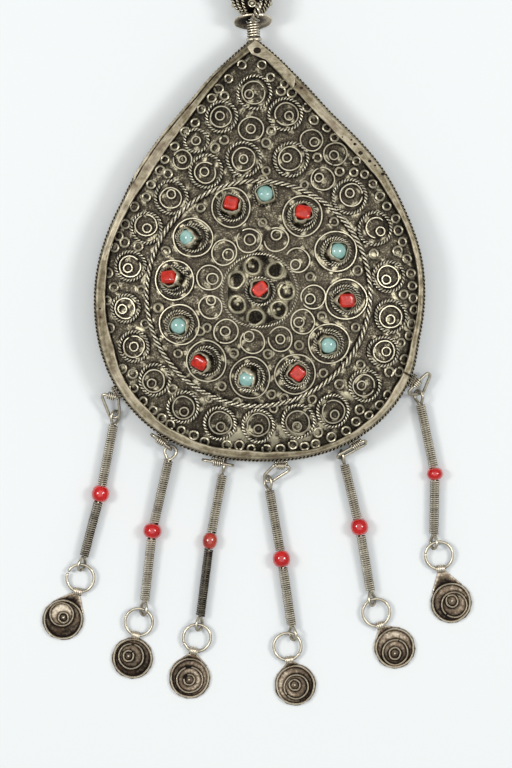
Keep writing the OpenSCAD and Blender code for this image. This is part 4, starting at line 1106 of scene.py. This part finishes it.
places = [dropPlaces(i) for i in range(6)]


# A staple is a few turns of wire soldered on, with short twisted wires between it and the edge
def stapleShapes(i):
    angle, clearance, turn, tilt = drop["hangers"][i]
    s = withZ(places[i]["staple"], drop["stapleZ"])
    axis = withZ(direction(turn), 0)
    r, w, length = drop["stapleRadius"], drop["stapleWire"], drop["stapleLength"]
    start = s - axis * (length / 2 - w)
    shapes = [helix(start, axis, straightUp, r - w, w, 2 * w, length - 2 * w, sides=8, stepsPerTurn=18)]
    for step, z in drop["spacers"]:
        if step > clearance:
            continue
        a = angle + np.degrees(np.linspace(-1.7, 1.7, 12) / reach(angle))
        path = withZ(direction(a) * (reach(a) + step - 0.1)[:, None], drop["stapleZ"] + z)
        shapes += rope(path, straightUp, drop["spacerWidth"], drop["spacerPitch"], closed=False)
    return shapes


staples = [shape for i in range(6) for shape in stapleShapes(i)]
makePiece("staples", staples, coilSilver, ["case"])


# The pin's fittings at the back: a drilled lug, and a catch open by some degrees, each on a foot
pinHold = {"lugX": -26.0, "catchX": 24.0, "y": 12.0, "z": 1.5, "hole": 0.93, "half": 1.45, "catchOpen": 95}


# The block round the pin is a ring of a flat wire, whose path is a rounded square: half / max(cos, sin)^0.8
def backFittings():
    y, z, hole = pinHold["y"], pinHold["z"], pinHold["hole"]
    t = np.linspace(0, 2 * np.pi, 40, endpoint=False)
    shapes = []
    for x, cut in [(pinHold["lugX"], 0), (pinHold["catchX"], pinHold["catchOpen"])]:
        path = np.radians(np.linspace(180 + cut / 2, 540 - cut / 2, 44, endpoint=cut > 0))
        outer = pinHold["half"] / np.maximum(abs(np.cos(path)), abs(np.sin(path))) ** 0.8
        middle, half = (outer + hole) / 2, (outer - hole) / 2
        ring = np.stack([np.full(len(path), x), y + middle * np.cos(path), z + middle * np.sin(path)], -1)
        shapes.append(wire(ring, np.array([1.0, 0, 0]), half, 0.95, sides=12, closed=cut == 0))
        square = np.maximum(abs(np.cos(t)), abs(np.sin(t)))
        foot = np.stack([x + 0.9 * np.cos(t) / square, y + 1.9 * np.sin(t) / square], -1)
        shapes.append(slab(foot, z + 1.25, plaque["backZ"] + 0.3, 0.12))
    return shapes


makePiece("pinFittings", backFittings(), backSilver, ["case"])


# A link's path round its bends, each an arc, with straight runs between: a run leaves its arc in the
# direction from bend to bend, less the arc cosine of the difference of the radii over the distance
def linkPath(bends):
    tangents = []
    for (x0, y0, r0), (x1, y1, r1) in zip(bends, bends[1:] + bends[:1]):
        less = np.arccos((r0 - r1) / np.hypot(x1 - x0, y1 - y0))
        tangents.append(np.degrees(np.arctan2(y1 - y0, x1 - x0) - less))
    runs = []
    for k in range(len(bends)):
        start, end = tangents[k - 1], tangents[k]
        sweep = (end - start) % 360
        a = start + sweep * np.linspace(0, 1, max(6, int(sweep / 12)))
        runs.append(np.array(bends[k][:2]) + bends[k][2] * direction(a))
    return np.concatenate(runs)


# The link lies in a plane through the staple, along it and sloping down by the tilt
def linkShape(i):
    angle, clearance, turn, tilt = drop["hangers"][i]
    flat = linkPath(drop["links"][i])
    along, out = withZ(direction(turn), 0), withZ(direction(turn - 90), 0)
    t = np.radians(tilt)
    outDown = out * np.cos(t) - straightUp * np.sin(t)
    path = withZ(places[i]["staple"], drop["stapleZ"]) + flat[:, :1] * along + flat[:, 1:] * outDown
    normal = unit(np.cross(along, outDown))
    normal = normal if normal[2] >= 0 else -normal
    even, ups = evenly(path, np.broadcast_to(normal, path.shape), 72, True)[:2]
    return wire(even, ups, drop["wire"], sides=12, tone=litFromAbove(drop["wire"]))


# Tone of a loose wire: a painted highlight on its upper side and painted shade below, whichever way it lies
def litFromAbove(radius):
    return lambda points: np.clip((points - points.mean(1, keepdims=True))[..., 2] / radius, -1, 1)


# Frame of a bar from one point to another: side and flat directions square to it, as the eye's roll needs
def barFrame(start, end, roll):
    axis = unit(end - start)
    azimuth = np.arctan2(axis[1], axis[0])
    side = np.array([np.cos(azimuth) * axis[2], np.sin(azimuth) * axis[2], -np.hypot(axis[0], axis[1])])
    flat = np.array([-np.sin(azimuth), np.cos(azimuth), 0])
    c, s = np.cos(np.radians(roll)), np.sin(np.radians(roll))
    return axis, c * side + s * flat, c * flat - s * side


# An eye: most of a circle, whose two legs come together where the coil starts
def eyeShape(centre, towards, roll):
    axis, normal, spread = barFrame(centre, towards, roll)
    a = np.radians(np.linspace(-drop["loopTurn"], drop["loopTurn"], 30))
    r = drop["loop"]
    arc = np.stack([np.sin(a) * r, -np.cos(a) * r], -1)
    leg = np.linspace(0, 1, 5)[1:, None]
    foot = np.array([drop["legs"][0], r + drop["legs"][1]])
    last = arc[-1] * (1 - leg) + foot * leg
    first = (arc[0] * (1 - leg) + foot * [-1, 1] * leg)[::-1]
    flat = np.concatenate([first, arc, last])
    path = centre + flat[:, :1] * spread + flat[:, 1:] * axis
    return wire(path, normal, drop["wire"], sides=10, closed=False, tone=litFromAbove(drop["wire"]))


# The straight wire inside a coil, from where the eye's legs meet to the bead
def barShape(eye, end):
    start = eye + unit(end - eye) * drop["barFrom"]
    t = np.linspace(0, 1, 4)[:, None]
    return wire(start * (1 - t) + end * t, straightUp, drop["bar"], sides=8, closed=False)


# A wound coil between an eye and the bead, its turns a little uneven
def coilShape(eye, bead, beadHalf, seed, brighter):
    axis = unit(bead - eye)
    start = drop["loop"] + drop["wire"] + 0.1 + drop["coilWire"]
    length = np.linalg.norm(bead - eye) - beadHalf + 0.05 - start - drop["coilWire"]
    uneven = lambda t: 1 + wobble(2 * np.pi * t, seed, [(3, 0.012), (7, 0.01), (17, 0.008)])
    points, faces, tone = helix(
        eye + axis * start, axis, straightUp, drop["coilRadius"] - drop["coilWire"] - 0.02,
        drop["coilWire"], drop["coilPitch"], length, sides=6, stepsPerTurn=14, taper=uneven)
    return points, faces, tone + brighter


# A bead turned round its bar: r = radius (0.35 + 0.65 cos v) and along = half sin v / sin 75, for v from
# -75 to 75 degrees, with rounded lips into a straight hole
def beadShape(i):
    radius, half = drop["beads"][i]
    p = places[i]
    axis = unit(unit(p["bead"] - p["upper"]) + unit(p["lower"] - p["bead"]))
    side = unit(np.cross(axis, straightUp))
    up = np.cross(side, axis)
    v = np.radians(np.linspace(-75, 75, 25))
    hole = drop["beadHole"]
    outer = np.stack([radius * (0.35 + 0.65 * np.cos(v)), half * np.sin(v) / np.sin(np.radians(75))], -1)
    lip = radius * drop["beadLip"]
    inside = np.array([(lip, half), (hole + 0.1, half * 0.97), (hole, half * 0.9), (hole, -half * 0.9),
                       (hole + 0.1, -half * 0.97), (lip, -half)])
    r, along = np.concatenate([outer, inside]).T
    u = np.linspace(0, 2 * np.pi, 56, endpoint=False)
    slump = 1 + wobble(u, 70 + i, [(2, 0.012), (3, 0.01)])
    points, faces = turned(p["bead"], axis, side, up, r, along, np.cos(u) * slump, np.sin(u))
    return points, faces, np.zeros(len(points))


# A jump ring lies nearly flat, from the lower eye down to the bail, open where its ends meet
def jumpShape(i):
    p = places[i]
    run = p["bail"] - p["lower"][:2]
    distance = np.linalg.norm(run)
    dip = (p["lower"][2] - drop["bailZ"]) / distance
    open1, open2 = drop["jumpOpenings"][i]
    a = np.linspace(open2, open1 + 360, 72)
    xy = p["jump"] + drop["jump"] * direction(a) * (1 + wobble(np.radians(a), 80 + i, [(2, 0.008)]))[:, None]
    z = p["lower"][2] - dip * ((xy - p["lower"][:2]) @ run) / distance
    return wire(withZ(xy, z), straightUp, drop["wire"], sides=12, closed=False,
                tone=litFromAbove(drop["wire"]))


disc = {
    # rings on each disc in mm from its centre: large ring x, y, radius, open from and to, then the small one
    "rings": [
        (-0.4, 1.4, 3.15, 0, 0, 0.1, 0.5, 1.35, 0, 0), (-0.4, 0.5, 3.35, 70, 92, -1.1, 0.6, 1.4, 30, 62),
        (0.0, -0.5, 3.45, 78, 112, -0.1, -0.5, 1.4, 100, 178),
        (0.2, -0.5, 3.25, 215, 228, -0.2, 0.0, 1.45, 95, 118),
        (0.1, -1.2, 3.4, 68, 80, 0.0, -1.5, 1.55, 0, 0), (0.8, -0.6, 3.4, 225, 240, 0.2, 0.4, 1.6, 130, 150),
    ],
    "rimWidth": 0.5, "rimHeight": 1.15, "floorZ": 0.45, "ringWidth": 0.5, "ringHeight": 0.85,
    "ringFoot": 0.35, "corners": 15, "granuleRadius": 0.42, "dish": 0.12, "shadeAndPatinaReach": 0.3,
    # how much brighter each disc's floor is, the floor inside its large ring, and towards which direction in
    # degrees a painted reflection makes it brighter still, and by how much
    "floorTones": [0.05, 0.05, 0.3, 0.3, 0.25, 0.25], "ringTones": [0.6, 0.15, 0.15, 0.1, 0.1, 0.1],
    "towards": [80, 100, 10, 170, 95, 60], "share": [0.35, 0.35, 0.3, 0.45, 0.5, 0.35],
}


# The sheet of a disc: trimmed with shears to a many-sided round, and drawn out in shoulders to the bail.
# Its reach is where each direction meets the line between two corners, or the shoulder's line if further.
def discOutline(i, count=180):
    p = places[i]
    back = p["bail"] - p["disc"]
    towardsBail = np.degrees(np.arctan2(back[1], back[0]))
    rng = np.random.default_rng(90 + i)
    a = 360 * np.arange(count) / count
    sides = disc["corners"]
    corners = np.sort((np.arange(sides) + rng.uniform(-0.25, 0.25, sides)) * 360 / sides)
    cornerReach = drop["discRadius"] * rng.uniform(0.98, 1.0, sides)
    x, y = cornerReach * np.cos(np.radians(corners)), cornerReach * np.sin(np.radians(corners))
    # reach of a straight-sided figure: each side is a line between two corners
    k = np.searchsorted(corners, a, side="right") % sides
    x0, y0, x1, y1 = x[k - 1], y[k - 1], x[k], y[k]
    d = direction(a)
    polygon = (x0 * y1 - x1 * y0) / (d[:, 0] * (y1 - y0) - d[:, 1] * (x1 - x0))
    # shoulders: straight lines from the disc's sides to the narrow neck
    off = np.radians((a - towardsBail + 180) % 360 - 180)
    neck = np.linalg.norm(back) - 0.8
    spread = np.clip(np.abs(off), 1e-4, None)
    halfNeck, tangentAt = 1.05, np.radians(48)
    q = drop["discRadius"] * np.array([np.cos(tangentAt), np.sin(tangentAt)])
    n = np.array([q[1] - halfNeck, -(q[0] - neck)])
    line = (n[0] * neck + n[1] * halfNeck) / (n[0] * np.cos(spread) + n[1] * np.sin(spread))
    tip = neck / np.cos(np.minimum(spread, 1.2))
    shoulders = np.where(spread < tangentAt, np.minimum(line, tip), 0)
    return p["disc"], a, np.maximum(polygon, shoulders)


# A ring on a disc: a flat wire round (x, y), open from one direction to the other
def discRing(centre, ring, height, width, seed, wave=0.012):
    x, y, radius, open1, open2 = ring
    gap = open2 - open1
    t = np.radians(np.linspace(open2, open1 + 360, 64 if gap else 65)[:None if gap else -1])
    r = radius * (1 + wobble(t, seed, [(2, wave), (5, wave * 0.5)]))
    xy = centre + np.stack([x + r * np.cos(t), y + r * np.sin(t)], -1)
    path = withZ(xy, disc["ringFoot"] + height / 2)
    return wire(path, straightUp, width / 2, height / 2, sides=10, closed=gap <= 0)


# A disc: rings of points from the middle outwards rise by dish (s / r)^4 to the rim, run flat to the sheared
# edge and back underneath. Its tone falls towards the nearest ring, as patina and as painted shade beside the
# rings' walls: 1.1 (1 - exp(-distance / shadeAndPatinaReach)) - 1.3, and a painted reflection makes it
# brighter towards one side.
def discShapes(i):
    centre, a, outer = discOutline(i)
    d = direction(a)
    r = drop["discRadius"] - 0.42
    big, small = disc["rings"][i][:5], disc["rings"][i][5:]
    wires = [(0, 0, r - disc["rimWidth"] / 2), big[:3], small[:3]]
    steps = np.concatenate([np.linspace(0.06, 0.97, 26) * r, [r]])
    rows = [withZ(centre + d * s, disc["floorZ"] + disc["dish"] * (s / r) ** 4) for s in steps]
    edgeRows = [(outer - 0.12, 0.5), (outer, 0.38), (outer, 0.12), (outer - 0.12, 0.02)]
    rows += [withZ(centre + d * e[:, None], z) for e, z in edgeRows]
    rows += [withZ(centre + d * f, 0.02) for f in (3.5, 0.5)]
    grid = np.stack(rows)
    flat = grid[..., :2] - centre
    away = np.full(flat.shape[:2], 9.0)
    fromSpot = lambda x, y: np.hypot(flat[..., 0] - x, flat[..., 1] - y)
    for x, y, radius in wires:
        away = np.minimum(away, np.abs(fromSpot(x, y) - radius) - disc["ringWidth"] / 2)
    tone = 1.1 * (1 - np.exp(-np.maximum(away, 0) / disc["shadeAndPatinaReach"])) - 1.3 + disc["floorTones"][i]
    inLarge, inSmall = fromSpot(*big[:2]) < big[2], fromSpot(*small[:2]) < small[2]
    tone = np.where(inLarge & ~inSmall, tone + disc["ringTones"][i], tone)
    lit = (flat @ direction(disc["towards"][i])) / r
    tone = tone + disc["share"][i] * lit * (fromSpot(0, 0) < r)
    # the sheared edge is painted light on its upper rows and dark below, and the underside dark
    tone[-6:] = np.array([0.5, 0.3, -0.4, -0.6, -0.6, -0.6])[:, None]
    shapes = [closedGrid(grid, withZ(centre, disc["floorZ"]), withZ(centre, 0.02), tone)]
    rim = (0, 0, r - disc["rimWidth"] / 2, *((300, 304) if i % 2 else (0, 0)))
    shapes.append(discRing(centre, rim, disc["rimHeight"], disc["rimWidth"], 120 + i))
    shapes.append(discRing(centre, big, disc["ringHeight"], disc["ringWidth"], 130 + i))
    shapes.append(discRing(centre, small, disc["ringHeight"], disc["ringWidth"], 140 + i, 0.03))
    granule = withZ(centre + np.array(small[:2]), disc["floorZ"] + 0.15)
    shapes.append(ball(granule, [disc["granuleRadius"]] * 3, 12, 6))
    return shapes


# The bail: the sheet's end curled round the jump ring, its axis along the ring's wire, with four ribs
# |cos 2 pi u|
def bailShape(i):
    p = places[i]
    axis = withZ(unit(p["bail"] - p["jump"]), 0)
    across = np.cross(straightUp, axis)
    v = np.linspace(0, 2 * np.pi, 36, endpoint=False)
    u = np.linspace(-1, 1, 33)
    ribs = drop["bailRib"] * np.abs(np.cos(2 * np.pi * u)) - drop["bailRib"]
    outer = drop["bailRadius"] + ribs
    outer[[0, -1]] -= 0.12
    inner = np.full(9, drop["bailHole"])
    w = drop["bailWidth"] / 2
    radii = np.concatenate([outer, inner])
    along = np.concatenate([u * w, np.linspace(w, -w, 9)])
    centre = withZ(p["bail"], drop["bailZ"])
    points, faces = turned(centre, across, axis, straightUp, radii, along, np.cos(v), np.sin(v))
    # tone: a painted highlight on top and painted shade below, light on the ribs and dark inside the hole as
    # painted shade
    tone = 0.8 * np.sin(v)[:, None] + np.concatenate([ribs * 6 + 0.3, inner * 0 - 1])
    return points, faces, np.clip(tone, -1, 1).ravel()


for i in range(6):
    p, n = places[i], i + 1
    roll = drop["lowRoll"] if i % 2 == 0 else -drop["lowRoll"]
    makePiece(f"link{n}", [linkShape(i)], looseSilver, [f"link_{n}"])
    makePiece(f"dropWire{n}", [
        eyeShape(p["upper"], p["bead"], drop["eyes"][i][3]), eyeShape(p["lower"], p["bead"], roll),
        barShape(p["upper"], p["bead"]), barShape(p["lower"], p["bead"]),
    ], looseSilver, [f"drop_wire_{n}"])
    half, brighter = drop["beads"][i][1], drop["coilTones"][i]
    makePiece(f"coils{n}", [coilShape(p["upper"], p["bead"], half, 150 + i, brighter[0]),
                            coilShape(p["lower"], p["bead"], half, 160 + i, brighter[1])],
              coilSilver, [f"coils_{n}"])
    makePiece(f"bead{n}", [beadShape(i)], brownGlass if i == 2 else redGlass, [f"bead_{n}"])
    makePiece(f"jumpRing{n}", [jumpShape(i)], looseSilver, [f"jump_ring_{n}"])
    makePiece(f"disc{n}", discShapes(i) + [bailShape(i)], discSilver, [f"disc_{n}"])
print("drops done")

# The finial: a wound neck, a saucer collar and a ball of twisted wires on one leaning post
finial = {
    "lean": 3.0, "postZ": 6.7, "neckRadius": 1.8, "neckLength": 4.6, "neckWire": 0.3, "neckPitch": 0.7,
    "collarAt": 3.9, "collarTilt": 20.0, "collarRadius": 5.2, "neckFoot": 0.65,
    "ballAt": 10.9, "ballRadius": 6.1, "coreRadius": 5.45, "meridianWidth": 0.95, "meridianPitch": 1.9,
    "meridians": [27, 45, 63],  # degrees from each panel's middle, four panels round the ball
    "latitudes": [-66, 66],
    # granules on the panels between the wires, in rings of plain wire
    "granuleLatitudes": [-26, 0, 26], "granule": 0.62, "granuleRing": 0.17, "poleWire": 0.32,
    "footAt": -0.95, "foot": [2.1, 0.85, 1.6],  # solder under the neck, half sizes
}
apexTip = withZ(reach(plaque["apex"]) * direction(plaque["apex"]), finial["postZ"])
postAxis = withZ(direction(90 + finial["lean"]), 0)
postSide = withZ(direction(finial["lean"]), 0)


def onPost(s):
    return apexTip + s * postAxis


neckShape = helix(onPost(finial["neckWire"] - finial["neckFoot"]), postAxis, postSide,
                  finial["neckRadius"] - finial["neckWire"], finial["neckWire"], finial["neckPitch"],
                  finial["neckLength"] - 0.1 + finial["neckFoot"] - 2 * finial["neckWire"], sides=8,
                  stepsPerTurn=28)
neckShape = (*neckShape[:2], 0.4 * neckShape[2] + 0.1)  # its painted shade and patina squeezed, so its turns hardly stand out
neckFoot = ball(onPost(finial["footAt"]), finial["foot"], 20, 9, np.stack([postSide, postAxis, straightUp]))
makePiece("neckCoil", [neckShape, neckFoot], coilSilver, ["neck_coil"])


# The collar: a saucer with a rolled rim, turned round its own tilted axis, hollow towards the plaque;
# the profile is closed
def collarShape():
    tilt = np.radians(finial["collarTilt"])
    axis = postAxis * np.cos(tilt) - straightUp * np.sin(tilt)
    up = straightUp * np.cos(tilt) + postAxis * np.sin(tilt)
    centre = onPost(finial["collarAt"])
    edge = finial["collarRadius"]
    r, h = np.array([
        (1.88, 0.0), (2.6, 0.06), (3.4, 0.08), (4.1, 0.02), (4.5, -0.22), (4.85, -0.34), (5.1, -0.24),
        (edge, 0.0), (5.1, 0.24), (4.8, 0.32), (4.4, 0.26), (3.6, 0.26), (2.6, 0.24), (1.88, 0.2),
    ]).T
    u = np.linspace(0, 2 * np.pi, 72, endpoint=False)
    wave = 1 + wobble(u, 12, [(2, 0.012), (3, 0.01), (7, 0.006)])
    points, faces = turned(centre, axis, postSide, up, r, h, np.cos(u) * wave, np.sin(u) * wave)
    # painted shade: the hollow darkest by the neck and on its left side, lighter towards the rim and on its
    # right
    tone = np.interp(r, [2.1, 3.2, 4.3, 5.2], [-0.6, -0.1, 0.5, 1.0]) - 0.45 * np.cos(u - 2.6)[:, None]
    return points, faces, tone.ravel()


makePiece("collar", [collarShape()], discSilver, ["collar"])


# The ball: a dark core, twisted wires from pole to pole, a plain ring round each pole, and a ring with a
# granule in each of the four panels
def ballShapes():
    centre = onPost(finial["ballAt"])
    axes = np.stack([postSide, straightUp, postAxis])
    core = ball(centre, [finial["coreRadius"]] * 3, 48, 23, axes)
    core = (core[0], core[1], np.full(len(core[2]), -0.7))
    shapes, rings = [core], []
    r = finial["ballRadius"] - finial["meridianWidth"] / 2

    # cos v (sin u side + cos u up) + sin v axis, for azimuth u, which is 0 towards the viewer, and latitude v
    def at(azimuth, latitude):
        u, v = np.broadcast_arrays(np.radians(azimuth), np.radians(latitude))
        level = np.sin(u)[..., None] * postSide + np.cos(u)[..., None] * straightUp
        return np.cos(v)[..., None] * level + np.sin(v)[..., None] * postAxis

    for panel in range(4):
        for step in finial["meridians"]:
            out = at(90 * panel + step, np.linspace(*finial["latitudes"], 40))
            shapes += rope(centre + r * out, out, finial["meridianWidth"], finial["meridianPitch"],
                           closed=False)
        for latitude in finial["granuleLatitudes"]:
            spot = at(90 * panel, latitude)
            east = unit(np.cross(postAxis, spot))
            north = np.cross(spot, east)
            t = np.linspace(0, 2 * np.pi, 24, endpoint=False)[:, None]
            circle = unit(spot + finial["granuleRing"] * (np.cos(t) * east + np.sin(t) * north))
            rings.append(wire(centre + (finial["coreRadius"] + 0.1) * circle, circle, 0.2, 0.28, sides=6))
            granule = centre + (finial["coreRadius"] + 0.05) * spot
            rings.append(ball(granule, [finial["granule"]] * 3, 12, 6))
    for latitude in finial["latitudes"]:
        around = at(np.linspace(0, 360, 48, endpoint=False), latitude)
        shapes.append(wire(centre + (r + 0.05) * around, around, finial["poleWire"], sides=8))
    return shapes + rings


makePiece("wireBall", ballShapes(), ropeSilver, ["ball"])


# Twisted strands run from the ball over the collar's rim and down its hollow to the neck: places along
# the post, to its side and above it
crossing = {"along": [8.3, 7.4, 6.3, 5.2, 4.55, 4.2], "aside": [1.9, 1.6, 1.3, 0.9, 0.4, 0.1],
            "above": [4.7, 5.5, 6.0, 5.3, 3.9, 2.5], "width": 1.9, "pitch": 3.4}


# The knots joined by a line that is smoothed, so that the strands bend softly
def crossingWire():
    t, knots = np.linspace(0, 5, 60), np.arange(6)
    smooth = np.hanning(9) / np.hanning(9).sum()
    values = [np.convolve(np.pad(np.interp(t, knots, crossing[key]), 4, "edge"), smooth, "valid")
              for key in ("along", "aside", "above")]
    path = (apexTip + values[0][:, None] * postAxis + values[1][:, None] * postSide
            + values[2][:, None] * straightUp)
    return rope(path, straightUp, crossing["width"], crossing["pitch"], closed=False, strands=3, sides=8,
                stepsPerTurn=18)


makePiece("crossingWire", crossingWire(), looseSilver)

# The plain post with its eye and the dress pin stay as the frame has them, in silver of their own
for name in ("top_eye", "dress_pin"):
    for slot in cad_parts[name].material_slots:
        slot.material = backSilver
print("finial done")

# A plain pale floor, a wide softbox overhead, two small ones left and right, and soft light all round
studio = {
    "floorColour": "#EFF2F1", "floorSize": 6.0, "floorRoughness": 0.9,
    "worldColour": "#EEF2F5", "world": 0.36,
    "boxPower": 2.7, "boxSize": 0.24, "boxDistance": 0.95, "boxAngle": 37,
    "overheadPower": 15.0, "overheadSize": 2.3, "overheadHeight": 1.9,
}
bpy.context.scene.view_settings.view_transform = "Standard"
floorMesh = bpy.data.meshes.new("floor")
s = studio["floorSize"] / 2
floorMesh.from_pydata([(-s, -s, 0), (s, -s, 0), (s, s, 0), (-s, s, 0)], [], [(0, 1, 2, 3)])
floor = bpy.data.objects.new("floor", floorMesh)
floorMaterial, _, floorShader = newMaterial("paperFloor")
floorShader.inputs["Base Color"].default_value = hexColour(studio["floorColour"])
floorShader.inputs["Roughness"].default_value = studio["floorRoughness"]
floorMesh.materials.append(floorMaterial)
bpy.context.scene.collection.objects.link(floor)

world = bpy.data.worlds.new("softStudio")
world.use_nodes = True
background = world.node_tree.nodes["Background"]
background.inputs["Color"].default_value = hexColour(studio["worldColour"])
background.inputs["Strength"].default_value = studio["world"]
bpy.context.scene.world = world

aim = plaqueCentre * 0.001 + np.array([0, 0, 0.01])
a = np.radians(studio["boxAngle"])
for name, side in (("softbox1", -1), ("softbox3", 1), ("overheadSoftbox", 0)):
    light = bpy.data.lights.new(name, "AREA")
    light.energy = studio["boxPower"] if side else studio["overheadPower"]
    light.size = studio["boxSize"] if side else studio["overheadSize"]
    box = bpy.data.objects.new(name, light)
    away = np.array([side * np.sin(a), 0.05, np.cos(a)]) * studio["boxDistance"]
    box.location = aim + away if side else (aim[0], aim[1], studio["overheadHeight"])
    box.rotation_euler = (0, side * a, 0)
    bpy.context.scene.collection.objects.link(box)

# The camera looks straight down, far enough off that the drops and the band keep the same scale
camera = {"height": 1.5, "levelZ": 0.008, "sensorHeight": 36.0, "sensorWidth": 24.0}
cameraData = bpy.data.cameras.new("camera")
cameraData.sensor_fit = "VERTICAL"
cameraData.sensor_height = camera["sensorHeight"]
cameraData.sensor_width = camera["sensorWidth"]
viewHeight = photo["imageHeight"] * photo["mmPerPixel"] * 0.001
cameraData.lens = camera["sensorHeight"] * (camera["height"] - camera["levelZ"]) / viewHeight
cameraData.clip_end = 20
cameraObject = bpy.data.objects.new("camera", cameraData)
middle = (withZ(fromPhoto(*photo["imageCentre"]), 0) + plaqueCentre) * 0.001
cameraObject.location = (middle[0], middle[1], camera["height"])
bpy.context.scene.collection.objects.link(cameraObject)
bpy.context.scene.camera = cameraObject
print("studio done")
